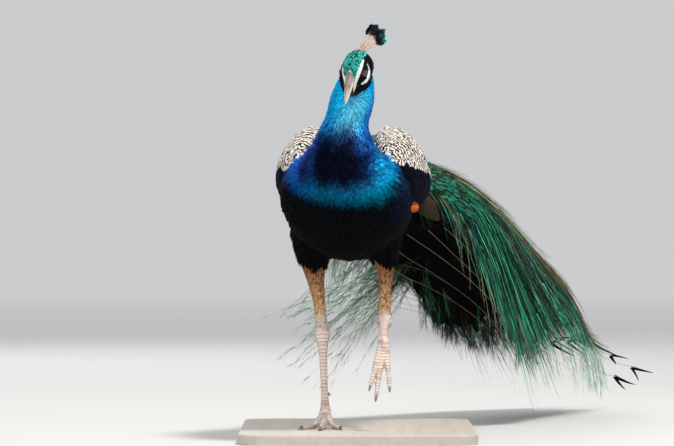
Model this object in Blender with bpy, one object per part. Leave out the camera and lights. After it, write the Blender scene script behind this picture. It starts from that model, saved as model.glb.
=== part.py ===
"""Life-size still model of a walking male Indian peafowl on a flat display base.

Units are metres, +Z is up.  The origin is on the base's underside, beside the standing foot.
The bird walks towards -Y; its left side is towards +X.  Most of the body is laid
out in the bird's own frame (x to its left, y to its back, z above the base's top)
and turned by BODY_YAW; the head and the train have their own directions.
"""

import math

import bmesh
import bpy
import numpy as np
from mathutils import Matrix, Vector

# ---- driving dimensions ----
BASE_SIZE = (0.40, 0.58)  # width along X, length along Y
BASE_AT = (0.035, 0.085)  # the base's centre, near the point under the centre of mass
BASE_THICK = 0.018
BASE_CORNER = 0.045
FIT_GAP = 0.0003  # left between touching pieces
BODY_YAW = math.radians(-8)
BODY_AT = Vector((0.025, 0.035, BASE_THICK))
HEAD_YAW = math.radians(-30)
HEAD_PITCH = math.radians(-55)
HEAD_ROLL = math.radians(4)
HEAD_AT = Vector((0.0310, -0.132, BASE_THICK + 0.6035))
CREST_SHAFTS = 7
CREST_LENGTH = 0.0625
EYE_RADIUS = 0.0062
TOE_GROUND = BASE_THICK + FIT_GAP
TRAIN_STEPS = 15
TRAIN_THICK = 0.007
BODY_SIDES = 20

COLOURS = {  # name: (linear colour, roughness, metallic)
    "blue": ((0.004, 0.10, 0.55), 0.35, 0.4),
    "crown": ((0.01, 0.32, 0.28), 0.4, 0.4),
    "black": ((0.008, 0.010, 0.016), 0.5, 0.1),
    "barred": ((0.55, 0.50, 0.42), 0.65, 0.0),
    "chestnut": ((0.48, 0.13, 0.03), 0.6, 0.0),
    "buff": ((0.36, 0.20, 0.09), 0.7, 0.0),
    "leg": ((0.50, 0.36, 0.27), 0.55, 0.0),
    "horn": ((0.24, 0.19, 0.15), 0.4, 0.0),
    "bill": ((0.42, 0.35, 0.31), 0.4, 0.0),
    "eye": ((0.03, 0.012, 0.006), 0.08, 0.0),
    "train": ((0.02, 0.20, 0.09), 0.4, 0.3),
    "tail": ((0.06, 0.045, 0.035), 0.6, 0.0),
    "base": ((0.50, 0.48, 0.45), 0.6, 0.0),
}


# ---- small tools ----
def clear_scene():
    for obj in list(bpy.data.objects):
        bpy.data.objects.remove(obj, do_unlink=True)


def material(name):
    found = bpy.data.materials.get(name)
    if found:
        return found
    colour, roughness, metallic = COLOURS[name]
    made = bpy.data.materials.new(name)
    made.use_nodes = True
    shader = made.node_tree.nodes["Principled BSDF"]
    shader.inputs["Base Color"].default_value = (*colour, 1)
    shader.inputs["Roughness"].default_value = roughness
    shader.inputs["Metallic"].default_value = metallic
    return made


def add_mesh(name, bm, colour, smooth=True):
    """Turns a bmesh into a named object of outward triangles, so that a cutter folds as it does."""
    bmesh.ops.recalc_face_normals(bm, faces=bm.faces)
    bmesh.ops.triangulate(bm, faces=bm.faces)
    mesh = bpy.data.meshes.new(name)
    bm.to_mesh(mesh)
    bm.free()
    mesh.materials.append(material(colour))
    obj = bpy.data.objects.new(name, mesh)
    bpy.context.scene.collection.objects.link(obj)
    if smooth:
        mesh.shade_smooth()
    return obj


def helper(obj):
    """Keeps an object as a cutter only."""
    obj.hide_render = True
    obj.display_type = "WIRE"
    return obj


def grown(obj, by=FIT_GAP):
    """A cutter: the object's own mesh pushed out by a gap."""
    bm = bmesh.new()
    bm.from_mesh(obj.data)
    bm.normal_update()
    moves = [v.normal * by for v in bm.verts]
    for vert, move in zip(bm.verts, moves):
        vert.co += move
    mesh = bpy.data.meshes.new(obj.name + "_cutter")
    bm.to_mesh(mesh)
    bm.free()
    cutter = bpy.data.objects.new(mesh.name, mesh)
    bpy.context.scene.collection.objects.link(cutter)
    return helper(cutter)


def boolean(obj, other, operation):
    step = obj.modifiers.new(f"{operation.title()} {other.name}", "BOOLEAN")
    step.object = other
    step.operation = operation
    step.solver = "EXACT"


def cut(obj, *cutters):
    for cutter in cutters:
        boolean(obj, cutter, "DIFFERENCE")


def join(obj, *others):
    for other in others:
        boolean(obj, helper(other), "UNION")


def along_rows(rows, share):
    """Catmull-Rom value at a share of the way through rows of numbers."""
    rows = np.array(rows, float)
    padded = np.vstack([2 * rows[0] - rows[1], rows, 2 * rows[-1] - rows[-2]])
    t = share * (len(rows) - 1)
    i = min(int(t), len(rows) - 2)
    f = t - i
    a, b, c, d = padded[i : i + 4]
    bent = 2 * a - 5 * b + 4 * c - d
    return 0.5 * (2 * b + (c - a) * f + bent * f**2 + (3 * b - a - 3 * c + d) * f**3)


def curve_through(rows, count):
    return [along_rows(rows, share) for share in np.linspace(0, 1, count)]


def oval(centre, side, up, half_side, half_up, half_down, count):
    """A closed ring: an ellipse with different reach above and below its centre."""
    ring = []
    for k in range(count):
        a = 2 * math.pi * k / count
        reach = half_up if math.sin(a) > 0 else half_down
        ring.append(centre + side * (half_side * math.cos(a)) + up * (reach * math.sin(a)))
    return ring


def loft(name, rings, colour, floor=None):
    """A closed solid through rings of equal count, with flat ends."""
    bm = bmesh.new()
    loops = []
    for ring in rings:
        if floor is not None:
            ring = [Vector((p.x, p.y, max(p.z, floor))) for p in ring]
        loops.append([bm.verts.new(p) for p in ring])
    count = len(loops[0])
    for a, b in zip(loops, loops[1:]):
        for k in range(count):
            n = (k + 1) % count
            bm.faces.new((a[k], a[n], b[n], b[k]))
    bm.faces.new(loops[0][::-1])
    bm.faces.new(loops[-1])
    return add_mesh(name, bm, colour)


def tube(name, path, colour, sides=8, flat=1.0, up=Vector((0, 0, 1)), floor=None):
    """A lofted limb along (point, radius) pairs; flat scales its height against its width."""
    points = [p for p, _ in path]
    rings = []
    for i, (point, radius) in enumerate(path):
        along = points[min(i + 1, len(points) - 1)] - points[max(i - 1, 0)]
        side = along.cross(up).normalized()
        lift = side.cross(along).normalized()
        rings.append(oval(point, side, lift, radius, radius * flat, radius * flat, sides))
    return loft(name, rings, colour, floor)


def bird(x, y, z):
    """A point of the bird's own frame, in the row frame."""
    return BODY_AT + Matrix.Rotation(BODY_YAW, 3, "Z") @ Vector((x, y, z))


def bird_direction(x, y, z):
    return Matrix.Rotation(BODY_YAW, 3, "Z") @ Vector((x, y, z))


# ---- trunk and neck ----
# x, y, z, section tilt in degrees (0 faces forward, 90 faces up), half width, reach above, below
TRUNK_STATIONS = (
    (0, 0.240, 0.394, 0, 0.016, 0.012, 0.012),
    (0, 0.222, 0.395, 0, 0.042, 0.032, 0.032),
    (0, 0.175, 0.396, 0, 0.072, 0.058, 0.060),
    (0, 0.105, 0.393, 0, 0.094, 0.088, 0.086),
    (0, 0.030, 0.390, 0, 0.104, 0.108, 0.102),
    (0, -0.035, 0.392, 6, 0.110, 0.110, 0.106),
    (-0.002, -0.082, 0.404, 26, 0.111, 0.092, 0.098),
    (-0.001, -0.112, 0.436, 52, 0.092, 0.062, 0.074),
    (0.002, -0.124, 0.474, 76, 0.058, 0.042, 0.052),
)
NECK_STATIONS = (
    (0.004, -0.122, 0.510, 90, 0.0400, 0.038, 0.040),
    (0.013, -0.122, 0.536, 90, 0.0375, 0.034, 0.036),
    (0.0175, -0.124, 0.557, 86, 0.0375, 0.033, 0.033),
    (0.0220, -0.129, 0.578, 78, 0.0340, 0.030, 0.026),
    (0.0270, -0.139, 0.598, 66, 0.0275, 0.026, 0.018),
    (0.0290, -0.150, 0.613, 56, 0.0160, 0.015, 0.010),
)


def body_rings(stations, count):
    """Sections of the trunk or neck, in the row frame."""
    rings = []
    for x, y, z, tilt, half, above, below in curve_through(stations, count):
        a = math.radians(tilt)
        lift = bird_direction(0, math.sin(a), math.cos(a))
        side = bird_direction(1, 0, 0)
        rings.append(oval(bird(x, y, z), side, lift, half, above, below, BODY_SIDES))
    return rings


def build_trunk_and_neck():
    """One smooth body from rump to nape, parted at the foot of the neck."""
    rings = body_rings(TRUNK_STATIONS + NECK_STATIONS, 31)
    part_at = 20
    trunk = loft("trunk", rings[: part_at + 1], "blue")
    up = sum((b - a for a, b in zip(rings[part_at], rings[part_at + 1])), Vector()).normalized()
    first = [p + up * FIT_GAP for p in rings[part_at]]
    neck = loft("neck", [first, *rings[part_at + 1 :]], "blue")
    return trunk, neck


# ---- head ----
# forward along the head, centre towards the crown, half width, reach to the crown, to the throat
HEAD_STATIONS = (
    (-0.0345, -0.001, 0.0090, 0.010, 0.010),
    (-0.0290, -0.002, 0.0175, 0.0180, 0.017),
    (-0.0160, -0.003, 0.0242, 0.0255, 0.0205),
    (0.0000, -0.004, 0.0270, 0.0268, 0.0205),
    (0.0120, -0.006, 0.0272, 0.0230, 0.0180),
    (0.0230, -0.0085, 0.0228, 0.0160, 0.0135),
    (0.0330, -0.0110, 0.0164, 0.0095, 0.0095),
    (0.0415, -0.0130, 0.0085, 0.0045, 0.0050),
)
BILL_START = 0.012
BILL_LENGTH = 0.050
BILL_RISE = 0.0050  # the bill's root above the head's axis
BILL_HOOK = 0.0175
EYE_PLACE = (0.0075, 0.0205, 0.0030)  # forward, to the side, towards the crown


def head_frame():
    """Rows: forward, left and crown directions of the head."""
    turn = Matrix.Rotation(HEAD_ROLL, 3, "Y") @ Matrix.Rotation(HEAD_YAW, 3, "Z")
    turn = turn @ Matrix.Rotation(-HEAD_PITCH, 3, "X")
    return turn @ Vector((0, -1, 0)), turn @ Vector((1, 0, 0)), turn @ Vector((0, 0, 1))


def head_point(forward, left, crown):
    f, side, up = head_frame()
    return HEAD_AT + f * forward + side * left + up * crown


def build_head(neck):
    f, side, up = head_frame()
    rings = [
        oval(HEAD_AT + f * at + up * rise, side, up, half, above, below, 16)
        for at, rise, half, above, below in curve_through(HEAD_STATIONS, 13)
    ]
    head = loft("head", rings, "crown")
    cut(neck, grown(head))
    head_clear = grown(head)
    upper, lower = build_bill()
    cut(upper, head_clear)
    cut(lower, head_clear)
    for tag, sign in (("left", 1), ("right", -1)):
        at = head_point(EYE_PLACE[0], sign * EYE_PLACE[1], EYE_PLACE[2])
        eye = ball(f"eye_{tag}", at, EYE_RADIUS, "eye")
        cut(head, grown(eye))
    return head


def ball(name, centre, radius, colour, around=10, high=6, stretch=(1, 1, 1)):
    bm = bmesh.new()
    bmesh.ops.create_uvsphere(bm, u_segments=around, v_segments=high, radius=radius)
    bmesh.ops.scale(bm, vec=stretch, verts=bm.verts)
    bmesh.ops.translate(bm, verts=bm.verts, vec=centre)
    return add_mesh(name, bm, colour)


def build_bill():
    """Two halves that taper and curve down, met along a flat tomium."""
    f, side, up = head_frame()
    steps = 8

    def half(name, half_width, depth, sign, reach):
        rings = []
        for k in range(steps + 1):
            t = k / steps * reach
            taper = (1 - t) ** 0.62 + 0.02
            drop = BILL_HOOK * (0.5 * t + 0.5 * t * t)
            centre = head_point(BILL_START + BILL_LENGTH * t, 0, BILL_RISE - drop)
            ring = []
            for j in range(9):
                a = math.pi * j / 8
                across = half_width * taper * math.cos(a)
                out = depth * taper * math.sin(a) + FIT_GAP / 2
                ring.append(centre + side * across + up * (sign * out))
            rings.append(ring)
        return loft(name, rings, "bill")

    return half("bill_upper", 0.0088, 0.0078, 1, 0.985), half("bill_lower", 0.0078, 0.0046, -1, 0.90)


# ---- crest ----
CREST_ROOT = (-0.0270, 0.0, 0.0130)
CREST_FRONT = Vector((0.40, 0.30, 0.86))
CREST_REAR = Vector((0.77, 0.50, 0.40))


def crest_direction(t):
    return CREST_FRONT.normalized().slerp(CREST_REAR.normalized(), t)


def build_crest(head):
    """A fan of bare shafts, each with a flat tuft at its tip, grown from one small root."""
    root = head_point(*CREST_ROOT)
    across = CREST_FRONT.cross(CREST_REAR).normalized()
    crest = ball("crest", root + crest_direction(0.5) * 0.002, 0.0052, "black", 8, 5)
    for k in range(CREST_SHAFTS):
        t = k / (CREST_SHAFTS - 1)
        along = crest_direction(t)
        length = CREST_LENGTH * (1 - 0.10 * abs(2 * t - 1) + 0.03 * (k % 2))
        sizes = ((0.0, 0.0011), (0.72, 0.0009), (0.79, 0.0046), (0.92, 0.0064), (1.0, 0.0032))
        path = [(root + along * (length * s), r) for s, r in sizes]
        join(crest, tube(f"crest_shaft_{k}", path, "black", 5, 0.62, across))
    cut(crest, grown(head))


# ---- wings ----
# y, centre x, centre z, half thickness, half height, lean of the top towards the back in degrees
WING_STATIONS = (
    (-0.104, 0.084, 0.436, 0.006, 0.012, 22),
    (-0.088, 0.085, 0.441, 0.021, 0.038, 22),
    (-0.045, 0.083, 0.446, 0.036, 0.060, 24),
    (0.015, 0.082, 0.450, 0.045, 0.071, 26),
    (0.075, 0.079, 0.442, 0.042, 0.068, 27),
    (0.135, 0.072, 0.430, 0.033, 0.056, 27),
    (0.190, 0.062, 0.416, 0.023, 0.040, 27),
    (0.235, 0.052, 0.404, 0.010, 0.020, 26),
    (0.252, 0.048, 0.399, 0.004, 0.008, 26),
)
# y, x, z, half height, half thickness
PRIMARIES_LEFT = (
    (0.010, 0.097, 0.384, 0.007, 0.005),
    (0.085, 0.111, 0.379, 0.018, 0.007),
    (0.165, 0.123, 0.374, 0.021, 0.006),
    (0.245, 0.130, 0.366, 0.006, 0.003),
)
PRIMARIES_RIGHT = (
    (0.020, 0.114, 0.372, 0.006, 0.004),
    (0.095, 0.113, 0.366, 0.016, 0.006),
    (0.190, 0.096, 0.360, 0.015, 0.006),
    (0.285, 0.078, 0.354, 0.004, 0.003),
)


def build_wing(tag, sign, primaries_row, trunk_clear):
    """The folded wing: a bulging cover of scapulars and coverts, and the primaries below it."""
    rings = []
    for y, x, z, thick, height, lean in curve_through(WING_STATIONS, 12):
        a = math.radians(lean) * sign
        out = bird_direction(math.cos(a), 0, math.sin(a))
        lift = bird_direction(-math.sin(a), 0, math.cos(a))
        rings.append(oval(bird(sign * x, y, z), out, lift, thick, height, height, 13))
    wing = loft(f"wing_{tag}", rings, "barred")
    wing_clear = grown(wing)
    cut(wing, trunk_clear)
    blade = []
    for y, x, z, height, thick in curve_through(primaries_row, 9):
        out, lift = bird_direction(1, 0, 0), Vector((0, 0, 1))
        blade.append(oval(bird(sign * x, y, z), out, lift, thick, height, height, 8))
    primaries = loft(f"wing_{tag}_primaries", blade, "chestnut")
    cut(primaries, wing_clear, trunk_clear)
    return wing_clear, grown(primaries)


# ---- legs ----
# point in the row frame above the base's top, half width across, half depth along the walk
THIGH_RIGHT = (
    (-0.034, 0.030, 0.372, 0.046, 0.066),
    (-0.038, 0.030, 0.330, 0.043, 0.060),
    (-0.041, 0.040, 0.292, 0.031, 0.044),
    (-0.0385, 0.052, 0.262, 0.0185, 0.027),
    (-0.0335, 0.064, 0.232, 0.0118, 0.0160),
    (-0.0300, 0.075, 0.208, 0.0095, 0.0115),
    (-0.0265, 0.086, 0.174, 0.0105, 0.0112),
)
THIGH_LEFT = (
    (0.0755, 0.022, 0.372, 0.042, 0.066),
    (0.0750, 0.020, 0.335, 0.0385, 0.058),
    (0.0785, 0.024, 0.300, 0.0290, 0.042),
    (0.0835, 0.034, 0.270, 0.0178, 0.026),
    (0.0825, 0.044, 0.245, 0.0112, 0.0150),
    (0.0820, 0.053, 0.222, 0.0098, 0.0115),
    (0.0811, 0.064, 0.192, 0.0108, 0.0112),
)
HOCK_RIGHT = Vector((-0.0255, 0.088, 0.164))
FOOT_RIGHT = Vector((-0.0200, 0.024, 0.0290))
HOCK_LEFT = Vector((0.0810, 0.066, 0.184))
FOOT_LEFT = Vector((0.0785, -0.074, 0.148))
# share of the way from hock to foot, radius
SHANK_RADII = (
    (0.0, 0.0130),
    (0.06, 0.0140),
    (0.14, 0.0098),
    (0.30, 0.0068),
    (0.70, 0.0058),
    (0.88, 0.0066),
    (1.0, 0.0092),
)
# name, splay on the ground and when hanging in degrees to the inner side, length, radius, claw length
TOES = (
    ("inner", 23, 14, 0.072, 0.0060, 0.015),
    ("middle", 0, 8, 0.087, 0.0066, 0.017),
    ("outer", -23, -4, 0.072, 0.0060, 0.015),
    ("hind", 196, 0, 0.026, 0.0048, 0.012),
)
TOE_SIDES = 6
TOE_STEPS = 7
SPUR_AT = 0.77
SPUR_LENGTH = 0.020


def above_base(point):
    return Vector(point) + Vector((0, 0, BASE_THICK))


def build_thigh(tag, stations, trunk_clear):
    rings = []
    for x, y, z, half, deep in curve_through(stations, 12):
        across, along = Vector((1, 0, 0)), Vector((0, 1, 0))
        rings.append(oval(above_base((x, y, z)), across, along, half, deep, deep, 12))
    thigh = loft(f"thigh_{tag}", rings, "buff")
    thigh_clear = grown(thigh)
    cut(thigh, trunk_clear)
    return thigh_clear


def build_shank(tag, hock, foot, thigh_clear):
    """The bare tarsus with its swollen hock, and the spur on its inner rear face."""
    hock, foot = above_base(hock), above_base(foot)
    along = (foot - hock).normalized()
    start = hock - along * 0.014
    path = [(start, 0.0108)]
    path += [(hock.lerp(foot, s), r) for s, r in SHANK_RADII]
    shank = tube(f"tarsus_{tag}", path, "leg", 10, 1.15, Vector((0, -1, 0.4)))
    cut(shank, thigh_clear)
    inward = 1 if tag == "right" else -1
    back = along.cross(Vector((1, 0, 0))).normalized()
    if back.y < 0:
        back = -back
    out = (Vector((inward, 0, 0)) * 0.45 + back * 0.88).normalized()
    at = hock.lerp(foot, SPUR_AT)
    tip = at + out * (SPUR_LENGTH + 0.004) + Vector((0, 0, 0.004))
    spur = tube(f"spur_{tag}", [(at, 0.0046), (at.lerp(tip, 0.5), 0.0034), (tip, 0.0007)], "horn", 8)
    cut(spur, grown(shank))
    return grown(shank)


def toe_shape(start, heading, length, root, grounded):
    """(point, radius) pairs of one toe: arched at its root, swelling at each pad."""
    path = []
    for k in range(TOE_STEPS + 1):
        t = k / TOE_STEPS
        radius = root * (1 - 0.42 * t) * (1 + 0.08 * math.cos(4 * math.pi * t)) * (1 if k else 0.6)
        point = start + heading * (length * t)
        if grounded:
            fall = math.sin(min(1.0, t * 2.2) * math.pi / 2)
            point.z = start.z + (TOE_GROUND + radius * 0.86 - start.z) * fall
        path.append((point, radius))
    return path


def build_foot(tag, foot, grounded, shank_clear, turn):
    """Pad and four toes in one solid, and a horny claw at the tip of each toe."""
    at = above_base(foot)
    inward = -1 if tag == "left" else 1
    up = Vector((0, 0, 1)) if grounded else Vector((0, -1, 0))
    stretch = (0.95, 1.15, 1.0) if grounded else (0.95, 0.9, 1.25)
    pad = ball(f"foot_{tag}", at, 0.0105, "leg", 10, 7, stretch)
    floor = TOE_GROUND if grounded else None
    for name, spread, hanging, length, root, claw_length in TOES:
        if grounded:
            a = math.radians(spread) * inward + turn
            heading = Vector((math.sin(a), -math.cos(a), 0))
        elif name == "hind":
            heading = Vector((0.22 * inward, 0.62, -0.75)).normalized()
        else:
            a = math.radians(hanging) * inward
            heading = Vector((math.sin(a), -0.08, -math.cos(a))).normalized()
        shift = {"inner": 0.0045, "outer": -0.0045}.get(name, 0) * inward
        start = at + Vector((shift, 0, 0))
        path = toe_shape(start, heading, length, root, grounded)
        toe = tube(f"toe_{tag}_{name}", path, "leg", TOE_SIDES, 0.86, up, floor)
        claw = build_claw(f"claw_{tag}_{name}", path, heading, up, claw_length, grounded)
        cut(claw, grown(toe))
        join(pad, toe)
    cut(pad, shank_clear)


def build_claw(name, toe, heading, up, length, grounded):
    """A tapering nail that curves down from the last joint."""
    tip, radius = toe[-1]
    path = []
    steps = 4
    for k in range(steps + 1):
        t = k / steps
        size = radius * 0.85 * (1 - t) ** 0.7 + 0.0006 * t
        point = tip + heading * (length * math.sin(t * 1.25) / 1.1 - 0.001)
        point -= up * (length * 0.42 * t * t)
        if grounded:
            point.z = max(point.z, TOE_GROUND + size * 0.9)
        path.append((point, size))
    return tube(name, path, "horn", 6, 0.95, up, TOE_GROUND if grounded else None)


# ---- tail and train ----
# spine of the train: x, y, z above the base's top, arch radius, ridge to right hem, to left hem
TRAIN_SPINE = (
    (0.046, 0.150, 0.452, 0.050, 0.050, 0.050),
    (0.078, 0.255, 0.461, 0.105, 0.155, 0.155),
    (0.140, 0.400, 0.452, 0.126, 0.290, 0.275),
    (0.208, 0.560, 0.408, 0.125, 0.325, 0.370),
    (0.280, 0.720, 0.338, 0.118, 0.260, 0.365),
    (0.355, 0.880, 0.266, 0.105, 0.215, 0.300),
    (0.425, 1.030, 0.160, 0.080, 0.165, 0.185),
    (0.515, 1.170, 0.098, 0.060, 0.110, 0.110),
    (0.612, 1.300, 0.062, 0.040, 0.060, 0.060),
)
TRAIN_BEND = math.radians(84)  # how far round the arch the hem lies
TRAIN_LOBES = (  # name, from and to across the arch, how many of the train's steps it reaches
    ("train_right_side", -1.0, -0.62, 13),
    ("train_right_top", -0.62, -0.22, 14),
    ("train_centre", -0.22, 0.22, 15),
    ("train_left_top", 0.22, 0.62, 14),
    ("train_left_side", 0.62, 1.0, 13),
)


def train_point(u, v):
    """A point of the train's draped sheet: u runs from rump to tip, v from right to left hem."""
    x, y, z, radius, *halves = train_row(u)
    half = halves[v > 0]
    ahead, behind = train_row(min(1, u + 0.01)), train_row(max(0, u - 0.01))
    along = Vector(ahead[:3] - behind[:3]).normalized()
    left = along.cross(Vector((0, 0, 1))).normalized()
    radius = min(radius, half / TRAIN_BEND)
    length = half * abs(v)
    turned = min(length / radius, TRAIN_BEND)
    hanging = length - turned * radius
    across = radius * math.sin(turned) + hanging * math.cos(TRAIN_BEND)
    drop = radius * (1 - math.cos(turned)) + hanging * math.sin(TRAIN_BEND)
    return above_base((x, y, z)) + left * math.copysign(across, v) - Vector((0, 0, drop))


def train_row(u):
    return along_rows(TRAIN_SPINE, u)


def slab(name, rows, colour):
    """A closed thin sheet from rows of (upper point, lower point)."""
    bm = bmesh.new()
    rows = [[(bm.verts.new(a), bm.verts.new(b)) for a, b in row] for row in rows]
    last = len(rows[0]) - 1
    for here, ahead in zip(rows, rows[1:]):
        for j in range(last):
            for side in (0, 1):
                quad = [p[side] for p in (here[j], here[j + 1], ahead[j + 1], ahead[j])]
                bm.faces.new(quad if side else quad[::-1])
        for j in (0, last):
            bm.faces.new((here[j][0], ahead[j][0], ahead[j][1], here[j][1]))
    for row in (rows[0], rows[-1]):
        for a, b in zip(row, row[1:]):
            bm.faces.new((a[0], b[0], b[1], a[1]))
    return add_mesh(name, bm, colour)


def build_lobe(name, v0, v1, reach, cutters):
    """One long lobe of the train: a thin curved slab whose end breaks into feather tips."""
    across = 4
    near = 0.002
    rows = []
    for i in range(reach + 1):
        row = []
        for j in range(across + 1):
            v = v0 + (v1 - v0) * j / across
            notch = 0.05 if i == reach and j % 2 else 0.0
            u = i / TRAIN_STEPS - notch
            point = train_point(u, v)
            du = train_point(min(1, u + near), v) - train_point(max(0, u - near), v)
            dv = train_point(u, min(1, v + near)) - train_point(u, max(-1, v - near))
            normal = du.cross(dv).normalized()
            if normal.z < 0 or (abs(v) > 0.6 and normal.dot(point - train_point(u, 0)) < 0):
                normal = -normal
            slack = {0: FIT_GAP, across: -FIT_GAP}.get(j, 0)
            point += dv.normalized() * slack
            row.append((point, point - normal * (TRAIN_THICK * (1 - 0.55 * u))))
        rows.append(row)
    cut(slab(name, rows, "train"), *cutters)


def build_tail(cutters):
    """The stiff true tail under the train: one flat fan of overlapping feathers."""
    steps, across = 7, 6
    rows = []
    for i in range(steps + 1):
        t = i / steps
        u = 0.03 + 0.36 * t
        x, y, z = train_row(u)[:3]
        half = 0.030 + 0.070 * t**0.8
        sink = 0.030 + 0.030 * t
        along = Vector((train_row(u + 0.01) - train_row(u - 0.01))[:3]).normalized()
        left = Vector((along.y, -along.x, 0)).normalized()
        thick = Vector((0, 0, 0.005 - 0.003 * t))
        row = []
        for j in range(across + 1):
            v = 2 * j / across - 1
            trim = 0.05 * t * v * v + (0.006 if i == steps and j % 2 else 0)
            point = above_base((x, y, z - sink - 0.35 * half * v * v))
            point += left * (half * v) - along * trim
            row.append((point, point - thick))
        rows.append(row)
    tail = slab("tail", rows, "tail")
    cut(tail, *cutters)
    return tail


# ---- display base ----
def build_base():
    bm = bmesh.new()
    bmesh.ops.create_cube(bm, size=1)
    bmesh.ops.scale(bm, vec=(*BASE_SIZE, BASE_THICK), verts=bm.verts)
    bmesh.ops.translate(bm, vec=(*BASE_AT, BASE_THICK / 2), verts=bm.verts)
    upright = [e for e in bm.edges if abs(e.verts[0].co.z - e.verts[1].co.z) > BASE_THICK / 2]
    bmesh.ops.bevel(bm, geom=upright, offset=BASE_CORNER, segments=5, profile=0.5, affect="EDGES")
    top = [
        e
        for e in bm.edges
        if all(abs(v.co.z - BASE_THICK) < 1e-6 for v in e.verts) and len(e.link_faces) == 2
        and any(abs(f.normal.z) < 0.5 for f in e.link_faces)
    ]
    bmesh.ops.bevel(bm, geom=top, offset=0.003, segments=2, profile=0.5, affect="EDGES")
    add_mesh("stand_base", bm, "base", smooth=False)


def main():
    clear_scene()
    trunk, neck = build_trunk_and_neck()
    trunk_clear = grown(trunk)
    head = build_head(neck)
    build_crest(head)
    wing_clears = [
        *build_wing("left", 1, PRIMARIES_LEFT, trunk_clear),
        *build_wing("right", -1, PRIMARIES_RIGHT, trunk_clear),
    ]
    for tag, stations, hock, foot, grounded, turn in (
        ("right", THIGH_RIGHT, HOCK_RIGHT, FOOT_RIGHT, True, math.radians(-6)),
        ("left", THIGH_LEFT, HOCK_LEFT, FOOT_LEFT, False, 0.0),
    ):
        thigh_clear = build_thigh(tag, stations, trunk_clear)
        shank_clear = build_shank(tag, hock, foot, thigh_clear)
        build_foot(tag, foot, grounded, shank_clear, turn)
    tail = build_tail([trunk_clear, *wing_clears])
    tail_clear = grown(tail)
    for name, v0, v1, reach in TRAIN_LOBES:
        build_lobe(name, v0, v1, reach, [trunk_clear, *wing_clears, tail_clear])
    build_base()


main()
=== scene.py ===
import math

import bmesh
import bpy
import numpy as np
from mathutils import Matrix, Vector
from mathutils.bvhtree import BVHTree
from mathutils.kdtree import KDTree


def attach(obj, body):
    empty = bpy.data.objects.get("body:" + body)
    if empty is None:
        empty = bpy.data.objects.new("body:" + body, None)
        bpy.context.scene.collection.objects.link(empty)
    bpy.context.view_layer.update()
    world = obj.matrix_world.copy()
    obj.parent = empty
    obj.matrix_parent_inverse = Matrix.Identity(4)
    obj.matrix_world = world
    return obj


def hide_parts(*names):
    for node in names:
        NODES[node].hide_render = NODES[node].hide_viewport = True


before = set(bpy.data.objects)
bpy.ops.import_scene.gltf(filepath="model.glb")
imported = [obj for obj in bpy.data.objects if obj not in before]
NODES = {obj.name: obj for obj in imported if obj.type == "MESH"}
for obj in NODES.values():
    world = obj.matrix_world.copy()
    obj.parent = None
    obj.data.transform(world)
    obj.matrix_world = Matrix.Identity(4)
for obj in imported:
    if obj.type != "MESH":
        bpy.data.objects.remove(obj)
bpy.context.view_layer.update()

SCENE = bpy.context.scene
SINE_TURN = 6.28  # phases are drawn from 0 to here
BAKE_PATCH = 0.003  # side of one feather's own patch in the OFBake map

# ---- places the CAD model is built from, repeated here in metres ----
BASE_THICK = 0.018
BODY_YAW = math.radians(-8)
BODY_AT = np.array((0.025, 0.035, BASE_THICK))
HEAD_YAW, HEAD_PITCH, HEAD_ROLL = math.radians(-30), math.radians(-55), math.radians(4)
HEAD_AT = np.array((0.0310, -0.132, BASE_THICK + 0.6035))
EYE_PLACE = (0.0075, 0.0205, 0.0030)  # forward, to the side, towards the crown
EYE_RADIUS = 0.0062
BILL_START, BILL_LENGTH, BILL_RISE, BILL_HOOK = 0.012, 0.050, 0.0050, 0.0175
CREST_ROOT = (-0.0270, 0.0, 0.0130)
CREST_FRONT = np.array((0.40, 0.30, 0.86))
CREST_REAR = np.array((0.77, 0.50, 0.40))
CREST_LENGTH = 0.0625
HOCK_RIGHT, FOOT_RIGHT = np.array((-0.0255, 0.088, 0.182)), np.array((-0.0200, 0.024, 0.0470))
HOCK_LEFT, FOOT_LEFT = np.array((0.0810, 0.066, 0.202)), np.array((0.0785, -0.074, 0.166))
# spine of the train: x, y, z above the base's top, arch radius, ridge to right hem, to left hem
TRAIN_SPINE = (
    (0.046, 0.150, 0.452, 0.050, 0.050, 0.050),
    (0.078, 0.255, 0.461, 0.105, 0.155, 0.155),
    (0.140, 0.400, 0.452, 0.126, 0.290, 0.275),
    (0.208, 0.560, 0.408, 0.125, 0.325, 0.370),
    (0.280, 0.720, 0.338, 0.118, 0.260, 0.365),
    (0.355, 0.880, 0.266, 0.105, 0.215, 0.300),
    (0.425, 1.030, 0.160, 0.080, 0.165, 0.185),
    (0.515, 1.170, 0.098, 0.060, 0.110, 0.110),
    (0.612, 1.300, 0.062, 0.040, 0.060, 0.060),
)
TRAIN_BEND = math.radians(84)
# middle of the body from the head down to the rump, in the bird's frame (x, y, z)
BODY_SPINE = (
    (0.029, -0.150, 0.613),
    (0.022, -0.129, 0.578),
    (0.013, -0.122, 0.536),
    (0.004, -0.118, 0.505),
    (0.000, -0.090, 0.462),
    (0.000, -0.050, 0.425),
    (0.000, 0.010, 0.400),
    (0.000, 0.090, 0.395),
    (0.000, 0.180, 0.398),
    (0.000, 0.260, 0.398),
)


def srgb(*rgb):
    """An 8-bit screen colour as linear numbers."""
    c = np.array(rgb) / 255
    return np.where(c <= 0.04045, c / 12.92, ((c + 0.055) / 1.055) ** 2.4)


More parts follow.
